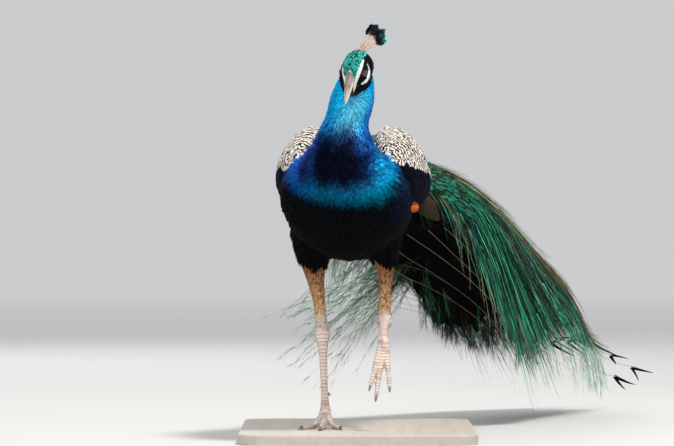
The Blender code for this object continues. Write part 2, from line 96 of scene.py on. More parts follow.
NECK_BLUE = srgb(6, 184, 252)
NECK_PAINTED_HIGHLIGHT = srgb(120, 224, 248)
NECK_PAINTED_SHADED_SIDE = srgb(2, 96, 210)
VIOLET_SHADOW_FRINGE = srgb(34, 22, 128)
CYAN_PAINTED_LIT_SIDE = srgb(0, 192, 244)
COBALT_PAINTED_SHADED_SIDE = srgb(14, 92, 214)
THROAT_PAINTED_SHADOW = srgb(7, 4, 22)
BREAST_TEAL = srgb(0, 88, 116)
BELLY = srgb(3, 5, 8)
MANTLE_GREEN = srgb(24, 128, 96)
MANTLE_GOLD = srgb(112, 84, 34)
CROWN = srgb(66, 222, 208)
FACE_BLACK = srgb(13, 14, 20)
FACE_WHITE = srgb(232, 232, 226)
WING_BUFF = srgb(230, 222, 210)
WING_BAR = srgb(18, 16, 16)
WING_BLUE = srgb(6, 12, 34)
CHESTNUT = srgb(226, 104, 58)
BRONZE_BROWN = srgb(66, 52, 30)
TIBIA = srgb(222, 178, 132)
TIBIA_HIGH = srgb(166, 116, 76)
HOCK_PALE = srgb(234, 216, 200)
TIBIA_FLECK = srgb(72, 40, 20)
LEG_SKIN = srgb(238, 220, 208)
LEG_GROOVE = srgb(128, 92, 78)
EMERALD = srgb(2, 138, 98)
TEAL = srgb(0, 116, 124)
TRAIN_GOLD = srgb(168, 136, 78)
TRAIN_BRONZE = srgb(70, 50, 28)
TRAIN_PALE_GREEN_AND_GLINT = srgb(84, 218, 156)
WISP = srgb(176, 206, 168)
UNDER_BLACK = srgb(12, 11, 9)
SHAFT_PALE = srgb(196, 186, 166)
CREST_BLACK = srgb(8, 12, 22)
CREST_TEAL = srgb(20, 136, 124)


# ---- small tools ----
def unit(a):
    return a / np.maximum(np.linalg.norm(a, axis=-1, keepdims=True), 1e-9)


def mix(a, b, share):
    share = np.clip(np.asarray(share, float), 0, 1)[..., None]
    return a * (1 - share) + b * share


def smooth(value, low, high):
    t = np.clip((value - low) / (high - low), 0, 1)
    return t * t * (3 - 2 * t)


def catmull(rows, share):
    """Catmull-Rom values at shares of the way through rows of numbers."""
    rows = np.asarray(rows, float)
    padded = np.vstack([2 * rows[0] - rows[1], rows, 2 * rows[-1] - rows[-2]])
    t = np.clip(np.atleast_1d(share), 0, 1) * (len(rows) - 1)
    i = np.minimum(t.astype(int), len(rows) - 2)
    f = (t - i)[:, None]
    a, b, c, d = (padded[i + k] for k in range(4))
    bent = 2 * a - 5 * b + 4 * c - d
    return 0.5 * (2 * b + (c - a) * f + bent * f**2 + (3 * b - a - 3 * c + d) * f**3)


def bell(value, middle, width):
    return np.exp(-(((value - middle) / width) ** 2))


def turn(angle, axis):
    return np.array(Matrix.Rotation(angle, 3, axis))


BODY_TURN = turn(BODY_YAW, "Z")
HEAD_TURN = turn(HEAD_ROLL, "Y") @ turn(HEAD_YAW, "Z") @ turn(-HEAD_PITCH, "X")
HEAD_AXES = np.stack([HEAD_TURN @ (0, -1, 0), HEAD_TURN @ (1, 0, 0), HEAD_TURN @ (0, 0, 1)])


def to_bird(points):
    """Row frame to the bird's frame: x to its left, y to its back, z above the base."""
    return (points - BODY_AT) @ BODY_TURN


def from_bird(points):
    return np.asarray(points, float) @ BODY_TURN.T + BODY_AT


def to_head(points):
    """Row frame to the head's frame: forward, to its left, towards its crown."""
    return (points - HEAD_AT) @ HEAD_AXES.T


def from_head(points):
    return np.asarray(points, float) @ HEAD_AXES + HEAD_AT


def noise(points, scale, seed=0):
    """Smooth value noise from a few sine waves, about -1 to 1."""
    waves = np.random.default_rng(seed).normal(size=(6, 3)) * scale
    phase = np.random.default_rng(seed + 9).uniform(0, SINE_TURN, 6)
    return np.sin(points @ waves.T + phase).mean(axis=-1) * 1.6


# ---- materials ----
BARB_SLANT = -1.3
FULL_TURN = 6.283
FEATHER_BUMP = (0.25, 0.0004)  # strength, depth


def fill(made, values):
    """Sets a node's own values, or the values of its inputs."""
    for key, value in values.items():
        if hasattr(made, key):
            setattr(made, key, value)
        else:
            made.inputs[key.replace("_", " ")].default_value = value


class Surface:
    """A new material, with short ways to add nodes to it."""

    def __init__(self, name, roughness=0.5, metallic=0.0, **sockets):
        self.material = bpy.data.materials.new(name)
        self.material.use_nodes = True
        self.nodes, self.links = self.material.node_tree.nodes, self.material.node_tree.links
        self.shader = self.nodes["Principled BSDF"]
        fill(self.shader, {"Roughness": roughness, "Metallic": metallic, **sockets})

    def add(self, kind, *fed, **values):
        """A node with its values; fed are pairs of an input and the output that feeds it."""
        made = self.nodes.new("ShaderNode" + kind)
        fill(made, values)
        for socket, output in fed:
            self.links.new(output, made.inputs[socket])
        return made

    def maths(self, operation, *values):
        """A sum of numbers and outputs; numbers are floats."""
        made = self.add("Math", operation=operation)
        for socket, value in zip(made.inputs, values):
            if isinstance(value, float):
                socket.default_value = value
            else:
                self.links.new(value, socket)
        return made.outputs[0]

    def own_colour(self):
        return self.add("Attribute", attribute_name="Col").outputs["Color"]

    def place(self):
        return self.add("TexCoord").outputs["Object"]

    def vane(self):
        """The Vane map, and from it the places along and across a feather, in metres."""
        uv = self.add("UVMap", uv_map="Vane").outputs[0]
        split = self.add("SeparateXYZ", (0, uv))
        return uv, split.outputs[0], split.outputs[1]

    def texture(self, kind, place, **values):
        return self.add(kind, ("Vector", place), **values).outputs[0]

    def ranged(self, value, low, high, to_low=0.0, to_high=1.0):
        ends = {"From_Min": low, "From_Max": high, "To_Min": to_low, "To_Max": to_high}
        return self.add("MapRange", ("Value", value), **ends).outputs[0]

    def blend(self, share, first, second):
        """Mixes two colours; the first may be an output."""
        made = self.add("Mix", ("Factor", share), data_type="RGBA")
        if isinstance(first, bpy.types.NodeSocket):
            self.links.new(first, made.inputs[6])
        else:
            made.inputs[6].default_value = (*first, 1)
        made.inputs[7].default_value = (*second, 1)
        return made.outputs[2]

    def barbs(self, along, across, pitch):
        """Waves that slant off the shaft, one to each barb."""
        slant = self.maths("MULTIPLY_ADD", self.maths("ABSOLUTE", across), BARB_SLANT, along)
        return self.maths("SINE", self.maths("MULTIPLY", slant, FULL_TURN / pitch))

    def paint(self, colour):
        self.links.new(colour, self.shader.inputs["Base Color"])

    def paint_own(self, shade):
        """The piece's own colour, made darker or lighter by shade."""
        tint = self.add("VectorMath", (0, self.own_colour()), ("Scale", shade), operation="SCALE")
        self.paint(tint.outputs[0])

    def bump(self, height, strength, distance):
        made = self.add("Bump", ("Height", height), Strength=strength, Distance=distance)
        self.links.new(made.outputs[0], self.shader.inputs["Normal"])


def feather_material(name, roughness, metallic, contrast=0.35, **sockets):
    """Feather: colour from the piece's Col attribute, with barbs slanting off the shaft."""
    surface = Surface(name, roughness, metallic, **sockets)
    _, along, across = surface.vane()
    wave = surface.barbs(along, across, 0.0011)
    speck = surface.add("TexNoise", Scale=420.0, Detail=3.0).outputs[0]
    grain = surface.maths("MULTIPLY_ADD", wave, 0.22, speck)
    surface.paint_own(surface.ranged(grain, 0.2, 0.9, 1 - contrast, 1 + contrast))
    surface.bump(wave, *FEATHER_BUMP)
    return surface.material


def barred_material(name):
    """Wing coverts: buff-white with wavy blackish bars that follow the feather's rounded tip."""
    surface = Surface(name, 0.6, Specular_IOR_Level=0.3)
    uv, along, across = surface.vane()
    bow = surface.maths("MULTIPLY", across, across)
    bent = surface.maths("MULTIPLY_ADD", bow, -26.0, along)
    wander = surface.texture("TexNoise", uv, Scale=170.0, Detail=2.0)
    wavy = surface.maths("MULTIPLY_ADD", wander, 0.0120, bent)
    wave = surface.maths("SINE", surface.maths("MULTIPLY", wavy, FULL_TURN / 0.0062))
    surface.paint(surface.blend(surface.ranged(wave, -0.20, 0.12), surface.own_colour(), WING_BAR))
    surface.bump(surface.barbs(along, across, 0.0009), *FEATHER_BUMP)
    return surface.material


def skin_material(name, scale, depth):
    """Skin: colour from Col, mottled, with fine creases between small raised scales."""
    surface = Surface(name, Specular_IOR_Level=0.4)
    place = surface.place()
    mottle = surface.texture("TexNoise", place, Scale=90.0, Detail=6.0)
    cells = surface.texture("TexVoronoi", place, feature="DISTANCE_TO_EDGE", Scale=scale)
    shade = surface.ranged(mottle, 0.25, 0.75, 0.72, 1.2)
    groove = surface.ranged(cells, 0.0, 0.09, 0.82, 1.0)
    surface.paint_own(surface.maths("MULTIPLY", shade, groove))
    surface.bump(groove, 0.6, depth)
    return surface.material


def horn_material(name, root, tip):
    """Claw horn: growth lines and a darker, streaked tip."""
    surface = Surface(name, 0.35, Coat_Weight=0.15, Coat_Roughness=0.3)
    place = surface.place()
    streak = surface.texture("TexNoise", place, Scale=60.0, Detail=8.0, Roughness=0.6)
    surface.paint(surface.blend(streak, root, tip))
    surface.bump(surface.texture("TexNoise", place, Scale=900.0, Detail=4.0), 0.3, 0.0002)
    return surface.material


def grainy_material(name, roughness, **sockets):
    """Colour from Col with a light mottle and grain."""
    surface = Surface(name, roughness, **sockets)
    grain = surface.texture("TexNoise", surface.place(), Scale=700.0, Detail=5.0)
    surface.paint_own(surface.ranged(grain, 0.3, 0.7, 0.86, 1.12))
    surface.bump(grain, 0.15, 0.0002)
    return surface.material


def eye_material():
    surface = Surface("glass_eye_surface", 0.04, Coat_Weight=1.0, Coat_Roughness=0.02)
    surface.paint(surface.own_colour())
    return surface.material


def base_material():
    """Pale limed board: soft grain along its length under a matt wax."""
    surface = Surface("limed_board", 0.6, Specular_IOR_Level=0.35)
    stretched = surface.texture("Mapping", surface.place(), Scale=(38, 2.2, 38))
    grain = surface.texture("TexNoise", stretched, Scale=1.6, Detail=9.0, Roughness=0.62, Distortion=0.6)
    surface.paint(surface.blend(grain, srgb(206, 200, 190), srgb(172, 162, 148)))
    surface.bump(grain, 0.2, 0.0006)
    return surface.material


MATERIALS = {
    "shine": feather_material("iridescent_feather", 0.44, 0.72, Specular_IOR_Level=0.25,
                              Specular_Tint=(0.05, 0.35, 0.6, 1)),
    "crown": feather_material("crown_scale_feather", 0.42, 0.5, contrast=0.2, Specular_IOR_Level=0.3),
    "soft": feather_material("soft_feather", 0.85, 0.0, Specular_IOR_Level=0.05),
    "train": feather_material("train_barb", 0.45, 0.35, contrast=0.25, Specular_IOR_Level=0.08),
    "ocellus": feather_material("ocellus_vane", 0.35, 0.5, contrast=0.2),
    "barred": barred_material("barred_covert"),
    "shaft": grainy_material("quill_shaft", 0.35),
    "scute": grainy_material("horny_scute", 0.45, Specular_IOR_Level=0.4),
    "skin": skin_material("bird_skin", 900.0, 0.0004),
    "lid": skin_material("eyelid_skin", 2600.0, 0.0002),
    "bill": grainy_material("bill_horn_surface", 0.38, Coat_Weight=0.2),
    "horn": horn_material("claw_horn_surface", srgb(128, 112, 98), srgb(66, 54, 48)),
    "eye": eye_material(),
    "base": base_material(),
}


# ---- mesh building ----
def build_piece(name, verts, faces, colours, material, bake, vane=None):
    """A joined mesh from numpy arrays, riding on the one body. faces is (n, 3) or (n, 4), or a list."""
    faces = faces if isinstance(faces, list) else [faces]
    mesh = bpy.data.meshes.new(name)
    sizes = np.concatenate([np.full(len(f), f.shape[1]) for f in faces])
    loops = np.concatenate([f.ravel() for f in faces]).astype(np.int32)
    co = np.asarray(verts, np.float32).ravel()
    mesh.vertices.add(len(co) // 3)
    mesh.vertices.foreach_set("co", co)
    mesh.loops.add(len(loops))
    mesh.loops.foreach_set("vertex_index", loops)
    mesh.polygons.add(len(sizes))
    mesh.polygons.foreach_set("loop_start", np.concatenate([[0], np.cumsum(sizes)[:-1]]).astype(np.int32))
    mesh.update(calc_edges=True)
    mesh.validate()
    paint(mesh, colours)
    for map_name, values in (("OFBake", bake), ("Vane", vane)):
        if values is not None:
            layer = mesh.uv_layers.new(name=map_name, do_init=False)
            layer.data.foreach_set("uv", np.asarray(values, np.float32).reshape(-1, 2)[loops].ravel())
    mesh.shade_smooth()
    mesh.materials.append(MATERIALS[material])
    obj = bpy.data.objects.new(name, mesh)
    SCENE.collection.objects.link(obj)
    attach(obj, "root")
    return obj


def paint(mesh, colours):
    """Sets the Col attribute, one colour to a vertex."""
    layer = mesh.color_attributes.new(name="Col", type="FLOAT_COLOR", domain="POINT")
    rgba = np.ones((len(mesh.vertices), 4), np.float32)
    rgba[:, :3] = np.reshape(colours, (-1, 3))
    layer.data.foreach_set("color", rgba.ravel())


def repeated(faces, size, count):
    """Faces of count copies of a mesh, each with size points."""
    return (faces[None] + (np.arange(count) * size)[:, None, None]).reshape(-1, faces.shape[1])


def grid_faces(rows, columns, count):
    """Quads of count separate grids of points."""
    index = np.arange(rows * columns).reshape(rows, columns)
    corners = (index[:-1, :-1], index[:-1, 1:], index[1:, 1:], index[1:, :-1])
    return repeated(np.stack(corners, axis=-1).reshape(-1, 4), rows * columns, count)


def ring_faces(index):
    """Quads between rows of points, each row closed on itself."""
    after = np.roll(index, -1, axis=1)
    return np.stack([index[:-1], after[:-1], after[1:], index[1:]], axis=-1).reshape(-1, 4)


def vane_grid(shape, across):
    """Grids over a vane: share along it, place across it (-1 to 1), share of its widest half width."""
    t, half = np.array(shape).T
    T, C = np.meshgrid(t, across, indexing="ij")
    return T, C, half[:, None] * np.ones_like(C)


def build_vanes(name, verts, colours, material, T, C, spots, along, across):
    """A piece of vanes that share the grids T and C, with their places along and across in metres."""
    bake = spots[:, None, None] + np.stack([T, (C + 1) / 2], axis=-1) * BAKE_PATCH
    vane = np.stack(np.broadcast_arrays(along, across), axis=-1)
    faces = grid_faces(*T.shape, len(spots))
    return build_piece(name, verts, faces, colours, material, bake, vane)


def strips(lines, widths, sides):
    """Flat ribbons along point lines (n, k, 3), with half widths (n, k) to their sides (n, k, 3)."""
    n, k, _ = lines.shape
    verts = np.stack([lines - sides * widths[..., None], lines + sides * widths[..., None]], axis=2)
    return verts.reshape(-1, 3), grid_faces(k, 2, n)


def strip_bake(spots, t):
    """OFBake places of ribbons, each in a patch of its own at its spot."""
    patch = np.stack(np.meshgrid(t, (0, 1), indexing="ij"), -1) * BAKE_PATCH
    return (spots[:, None, None] + patch).reshape(-1, 2)


def both_edges(colours):
    """Colours along ribbons (n, k, 3), given to the points on both their edges."""
    return np.repeat(colours[:, :, None], 2, axis=2).reshape(-1, 3)


def build_strips(name, lines, widths, sides, colours, material, spots, t, length=None):
    """A piece of ribbons. With their length the Vane map is in metres, else it is empty."""
    verts, faces = strips(lines, widths, sides)
    vane = np.zeros((len(verts), 2))
    if length is not None:
        along = length[:, None, None] * np.reshape(t, (1, -1, 1)) + np.zeros((*widths.shape, 2))
        vane = np.stack([along, np.stack([-widths, widths], axis=2)], axis=-1)
    bake = strip_bake(spots, t)
    return build_piece(name, verts, faces, both_edges(colours), material, bake, vane)


def mesh_points(mesh):
    co = np.empty(len(mesh.vertices) * 3, np.float32)
    mesh.vertices.foreach_get("co", co)
    normals = np.empty(len(mesh.vertices) * 3, np.float32)
    mesh.vertex_normals.foreach_get("vector", normals)
    return co.reshape(-1, 3).astype(float), normals.reshape(-1, 3).astype(float)


def tree_of(obj):
    mesh = obj.data
    return BVHTree.FromPolygons([v.co for v in mesh.vertices], [p.vertices for p in mesh.polygons])


def kd_tree(points):
    tree = KDTree(len(points))
    for i, p in enumerate(points.tolist()):
        tree.insert(p, i)
    tree.balance()
    return tree


def node_tree_distance(names, points):
    """Distance from points to the nearest of some CAD nodes."""
    best = np.full(len(points), 1e9)
    for name in names:
        tree = tree_of(NODES[name])
        found = np.array([tree.find_nearest(p)[3] or 0 for p in points.tolist()])
        best = np.minimum(best, found)
    return best


# ---- where things are on the bird ----
HEAD, NECK, TRUNK, WING, THIGH, LEG = range(6)
REGION_NODES = {
    HEAD: ("head",),
    NECK: ("neck",),
    TRUNK: ("trunk",),
    WING: ("wing_left", "wing_right"),
    THIGH: ("thigh_left", "thigh_right"),
    LEG: ("tarsus_left", "tarsus_right", "foot_left", "foot_right"),
}
FLESH = [name for names in REGION_NODES.values() for name in names]


def region_of(points):
    """The region whose CAD nodes lie nearest."""
    gaps = np.stack([node_tree_distance(names, points) for names in REGION_NODES.values()])
    return gaps.argmin(axis=0)


# marks of the face as lines of (forward, to the side, towards the crown), the same on both sides
BROW_LINE = ((-0.0115, 0.0168, 0.0158), (-0.001, 0.0178, 0.0158), (0.006, 0.0174, 0.0142),
             (0.017, 0.0143, 0.0086), (0.027, 0.0105, 0.0014), (0.0385, 0.0085, -0.0060))
CHEEK_LINE = ((-0.0078, 0.0226, 0.0088), (-0.0060, 0.0240, 0.0060), (-0.0020, 0.0256, 0.0010),
              (0.0065, 0.0262, -0.0036), (0.0160, 0.0245, -0.0044), (0.0245, 0.0195, -0.0035))
# half widths of the two stripes at places forward
BROW_HALF = ((-0.0115, 0.0, 0.012, 0.025, 0.0385), (0.0014, 0.0026, 0.0030, 0.0021, 0.0015))
CHEEK_HALF = ((-0.0078, -0.002, 0.0065, 0.016, 0.0245), (0.0018, 0.0026, 0.0034, 0.0030, 0.0016))
CULMEN_LINE = ((0.0130, 0.0004, 0.0160), (0.0182, 0.0042, 0.0124), (0.0232, 0.0074, 0.0070))


def line_gap(points, line):
    """Distance from points to a line of marks."""
    best = np.full(len(points), 1e9)
    for start, end in zip(np.array(line), np.array(line)[1:]):
        way = end - start
        t = np.clip((points - start) @ way / (way @ way), 0, 1)
        best = np.minimum(best, np.linalg.norm(points - start - t[:, None] * way, axis=1))
    return best


def face_marks(points):
    """How white and how black the face is at points: 0 to 1 each."""
    h = to_head(points)
    h[:, 1] = np.abs(h[:, 1]) + 0.0026 * (h[:, 1] < 0) * smooth(h[:, 0], -0.016, -0.008)
    f, side, c = h.T
    brow_half = np.interp(f, *BROW_HALF)
    cheek_half = np.interp(f, *CHEEK_HALF)
    upper = smooth(brow_half - line_gap(h, BROW_LINE), -0.0006, 0.0006)
    lower = smooth(cheek_half - line_gap(h, CHEEK_LINE), -0.0006, 0.0006)
    base = smooth(0.0019 - line_gap(h, CULMEN_LINE), -0.0005, 0.0005)
    white = np.maximum(np.maximum(upper, lower), base)
    brow = np.array(BROW_LINE)
    below = (side - np.interp(f, brow[:, 0], brow[:, 1])) - (c - np.interp(f, brow[:, 0], brow[:, 2]))
    below = smooth(below, -0.0006, 0.0014)
    rear = f + 0.0125 + 0.0230 * smooth(c, -0.012, 0.0) + 0.1 * np.maximum(c, 0)
    rear = smooth(rear, -0.0008, 0.0016)
    floor = c + 0.0350 - 0.0065 * smooth(f, 0.018, 0.036) - 0.5 * np.maximum(0.004 - f, 0)
    floor = smooth(floor, -0.0012, 0.0016)
    rear = rear * smooth(0.0300 - 0.60 * np.maximum(-0.010 - c, 0) - side, -0.0010, 0.0014)
    lore = np.maximum(smooth(side, 0.0050, 0.0066), smooth(-c, -0.001, 0.002))
    lore = lore * smooth(f, 0.0205, 0.0225) * smooth(c, -0.022, -0.019)
    black = np.maximum(below * rear * floor, lore)
    return white, np.clip(black * (1 - white), 0, 1)


def thigh_hem(b):
    """Height in the bird's frame where the black thigh ends: lowest over the front of each leg."""
    return 0.2765 + 0.55 * np.abs(b[:, 0] - np.where(b[:, 0] > 0, 0.082, -0.060))


def body_colour(points, regions):
    """The bird's markings as a function of place, used on the skin and on its feathers; on the neck and
    breast painted light and shade as well.
    """
    b = to_bird(points)
    x, y, z = b.T
    # centre: the neck's lit middle, painted off towards the key lamp's side higher up the neck
    centre = 0.027 * smooth(z, 0.50, 0.60)
    wobble = 0.006 * noise(points, 60, 3)
    # neck and breast
    neck_half = 0.039 + 0.066 * smooth(0.50 - z, 0.0, 0.08)
    # painted shade: the neck turns darker blue towards its sides
    sides = smooth(np.abs(x - centre) / neck_half, 0.45 + 0.15 * smooth(z, 0.50, 0.53), 1.12)
    colour = mix(NECK_BLUE, NECK_PAINTED_SHADED_SIDE, sides)
    # painted highlight: a pale spot down the front of the neck, set off its middle towards the key lamp
    sky = bell(x - centre, 0.013, 0.017) * smooth(z, 0.470, 0.505) * smooth(0.575 - z, 0.0, 0.03)
    colour = mix(colour, NECK_PAINTED_HIGHLIGHT, 0.75 * sky * (y < -0.09))
    # painted light on the breast's own blue: bright cyan on the side towards the key lamp, darker cobalt on
    # the other side
    for shade, share, x0, wide, z0, tall in (
        (COBALT_PAINTED_SHADED_SIDE, 0.8, -0.078, 0.034, 0.437, 0.055),
        (CYAN_PAINTED_LIT_SIDE, 0.9, 0.061, 0.022, 0.442, 0.052),
    ):
        colour = mix(colour, shade, share * bell(x, x0, wide) * bell(z, z0, tall) * (y < -0.05))
    # painted shadow: the head's cast shadow on the upper breast, near black with a violet fringe
    ring = np.hypot((x - 0.002) / 0.050, (z - 0.455 + 0.22 * np.abs(x)) / np.where(z > 0.449, 0.048, 0.038))
    ring = ring + 1.2 * wobble / 0.040 + 0.10 * noise(points, 320, 7)
    ahead = y < -0.06
    colour = mix(colour, VIOLET_SHADOW_FRINGE, 0.85 * smooth(1.80 - ring, 0.0, 0.9) * ahead)
    colour = mix(colour, THROAT_PAINTED_SHADOW, (1 - (1 - smooth(1.36 - ring, 0.0, 0.86)) ** 1.6) * ahead)
    edge = 0.394 + 2.3 * x**2 - 0.10 * x + wobble
    # the teal band takes painted light too: cobalt away from the key lamp, cyan towards it
    teal = mix(BREAST_TEAL, COBALT_PAINTED_SHADED_SIDE, 0.45 * smooth(-x, 0.02, 0.08))
    teal = mix(teal, CYAN_PAINTED_LIT_SIDE, 0.25 * smooth(x, 0.01, 0.06))
    colour = mix(colour, teal, 0.9 * smooth(edge + 0.044 - z, 0.0, 0.038))
    colour = mix(colour, BELLY, smooth(edge + 0.023 - z, 0.0, 0.034))
    flank = np.maximum(smooth(y, -0.085, -0.05), smooth(x, 0.072, 0.086)) * smooth(0.50 - z, 0.0, 0.02)
    colour = mix(colour, WING_BLUE, 0.93 * flank * smooth(z, 0.35, 0.38))
    colour = mix(colour, BELLY, smooth(y, 0.03, 0.10) * smooth(0.45 - z, 0, 0.04))
    # mantle and back
    back = smooth(y, -0.080, -0.040) * smooth(z, 0.455, 0.475) * smooth(y, -0.105, -0.045)
    colour = mix(colour, mix(MANTLE_GREEN, MANTLE_GOLD, 0.5 + 0.5 * noise(points, 130, 5)), back)
    # wings, thighs, legs
    wing = regions == WING
    low = smooth(0.442 - 0.10 * (y + 0.05) + 0.004 * noise(points, 80, 6) - z, 0.0, 0.006)
    colour[wing] = mix(WING_BUFF, WING_BLUE, low[wing])
    thigh = regions == THIGH
    bare = smooth(thigh_hem(b) + 0.004 * noise(points, 90, 8) - z, 0.0, 0.008)
    buff = mix(TIBIA, TIBIA_HIGH, smooth(z, 0.218, 0.272))
    buff = mix(buff, HOCK_PALE, smooth(0.212 - z, 0.0, 0.030))
    colour[thigh] = mix(BELLY, buff[thigh], bare[thigh])
    leg = regions == LEG
    colour[leg] = mix(LEG_SKIN, LEG_GROOVE, 0.35 + 0.35 * noise(points[leg], 260, 4))
    # head
    head = regions == HEAD
    f, _, c = to_head(points).T
    crown = mix(CROWN, CROWN * 0.62, 0.5 + 0.5 * noise(points, 420, 2))
    crown = mix(crown, NECK_BLUE * 0.8, smooth(-f, 0.020, 0.034))
    # painted shade: the low back of the head in the neck's darker shaded-side blue
    crown = mix(crown, NECK_PAINTED_SHADED_SIDE, smooth(-c, 0.004, 0.014) * smooth(-f, -0.004, 0.012))
    white, black = face_marks(points)
    throat = (regions == NECK) | head
    colour[head] = crown[head]
    colour[throat] = mix(colour[throat], FACE_BLACK, black[throat])
    colour[head] = mix(colour[head], FACE_WHITE, white[head])
    return colour


COAT_DEPTH = (0.0012, 0.0040, 0.0070, 0.0060, 0.0050, 0.0002)  # one for each region


def coat_depth(points, regions):
    """How far the skin lies inside the solids."""
    z = to_bird(points)[:, 2]
    depth = np.choose(regions, COAT_DEPTH)
    depth = np.where(regions == THIGH, 0.0010 + 0.0055 * smooth(z, 0.22, 0.31), depth)
    depth = np.where(regions == TRUNK, 0.0035 + 0.0035 * smooth(0.50 - z, 0, 0.06), depth)
    return depth


def flow_guides():
    """Places with the direction the coat lies in there."""
    lines = [from_bird(catmull(BODY_SPINE, np.linspace(0, 1, 40)))]
    for sign in (1, -1):
        for lift in (-0.03, 0.0, 0.03):
            y = np.linspace(-0.09, 0.26, 12)
            lines.append(from_bird(np.stack([sign * 0.10 + 0 * y, y, 0.447 + lift - 0.30 * y], axis=1)))
        out = 0.03 * sign
        lines.append(from_head([(0.035, 0.5 * out, -0.006), (0.015, out, -0.004), (-0.01, 1.1 * out, -0.008),
                                (-0.035, out, -0.014)]))
    lines += [
        from_head([(0.036, 0, 0.006), (0.02, 0, 0.018), (0, 0, 0.028), (-0.02, 0, 0.024),
                   (-0.038, 0, 0.010)]),
        from_head([(0.030, 0, -0.02), (0.010, 0, -0.028), (-0.01, 0, -0.034)]),
        np.array([(-0.036, 0.03, 0.37), (-0.040, 0.04, 0.30), (-0.033, 0.066, 0.25), (-0.026, 0.088, 0.18)]),
        np.array([(0.076, 0.02, 0.37), (0.080, 0.024, 0.31), (0.083, 0.045, 0.26), (0.081, 0.066, 0.20)]),
        np.array([HOCK_RIGHT, (HOCK_RIGHT + FOOT_RIGHT) / 2, FOOT_RIGHT]),
        np.array([HOCK_LEFT, (HOCK_LEFT + FOOT_LEFT) / 2, FOOT_LEFT]),
    ]
    places = np.vstack([(line[1:] + line[:-1]) / 2 for line in lines])
    return places, np.vstack([unit(np.diff(line, axis=0)) for line in lines])


GUIDE_PLACES, GUIDE_WAYS = flow_guides()


def flow(points, normals):
    """Direction of the coat's lie along the surface at points."""
    total = np.zeros_like(points)
    for i in range(0, len(points), 4000):
        gap = points[i : i + 4000, None] - GUIDE_PLACES[None]
        weight = 1 / ((gap**2).sum(-1) + 1e-5) ** 2
        total[i : i + 4000] = weight @ GUIDE_WAYS
    total -= normals * (total * normals).sum(-1, keepdims=True)
    return unit(total)


# ---- skin ----
SKIN_VOXEL = 0.0024


def build_skin():
    """One closed skin through all the flesh nodes, drawn in by the coat's depth."""
    bm = bmesh.new()
    for name in FLESH:
        part = bmesh.new()
        part.from_mesh(NODES[name].data)
        grow = 0.0012 if name in ("head", "neck", "trunk") else 0.0006
        part.normal_update()
        for v, move in [(v, v.normal * grow) for v in part.verts]:
            v.co += move
        mesh = bpy.data.meshes.new("part")
        part.to_mesh(mesh)
        part.free()
        bm.from_mesh(mesh)
        bpy.data.meshes.remove(mesh)
    mesh = bpy.data.meshes.new("skin")
    bm.to_mesh(mesh)
    bm.free()
    obj = bpy.data.objects.new("skin", mesh)
    SCENE.collection.objects.link(obj)
    remesh = obj.modifiers.new("One skin", "REMESH")
    remesh.mode, remesh.voxel_size = "VOXEL", SKIN_VOXEL
    relax(obj, 4)
    keep_largest(obj)
    refine(obj)
    points, normals = mesh_points(obj.data)
    points -= normals * coat_depth(points, region_of(points))[:, None]
    obj.data.vertices.foreach_set("co", points.astype(np.float32).ravel())
    relax(obj, 3)
    return obj


def relax(obj, times):
    """Smooths the mesh, after whatever modifiers it has."""
    step = obj.modifiers.new("Relax", "SMOOTH")
    step.factor, step.iterations = 0.5, times
    dg = bpy.context.evaluated_depsgraph_get()
    made = bpy.data.meshes.new_from_object(obj.evaluated_get(dg))
    obj.modifiers.clear()
    old, obj.data = obj.data, made
    bpy.data.meshes.remove(old)


def keep_largest(obj):
    """Drops small stray shells left by the remesh."""
    bm = bmesh.new()
    bm.from_mesh(obj.data)
    seen, shells = set(), []
    for start in bm.verts:
        if start in seen:
            continue
        seen.add(start)
        shell, edge = [start], [start]
        while edge:
            ahead = []
            for v in edge:
                for e in v.link_edges:
                    n = e.other_vert(v)
                    if n not in seen:
                        seen.add(n)
                        ahead.append(n)
            shell += ahead
            edge = ahead
        shells.append(shell)
    shells.sort(key=len)
    for shell in shells[:-1]:
        bmesh.ops.delete(bm, geom=shell, context="VERTS")
    bm.to_mesh(obj.data)
    bm.free()


def refine(obj):
    """Halves the skin's squares on the head and the bare legs, where it shows."""
    bm = bmesh.new()
    bm.from_mesh(obj.data)
    co = np.array([v.co for v in bm.verts])
    on_head = np.linalg.norm(to_head(co) - (0.004, 0, 0), axis=1) < 0.040
    on_leg = co[:, 2] < 0.215
    pick = on_head | on_leg
    edges = [e for e in bm.edges if pick[e.verts[0].index] and pick[e.verts[1].index]]
    bmesh.ops.subdivide_edges(bm, edges=edges, cuts=1, use_grid_fill=True, smooth=0.6)
    bm.to_mesh(obj.data)
    bm.free()


# ---- feathers laid over the skin ----
NEIGHBOURS = [(dx, dy, dz) for dx in (-1, 0, 1) for dy in (-1, 0, 1) for dz in (-1, 0, 1)]


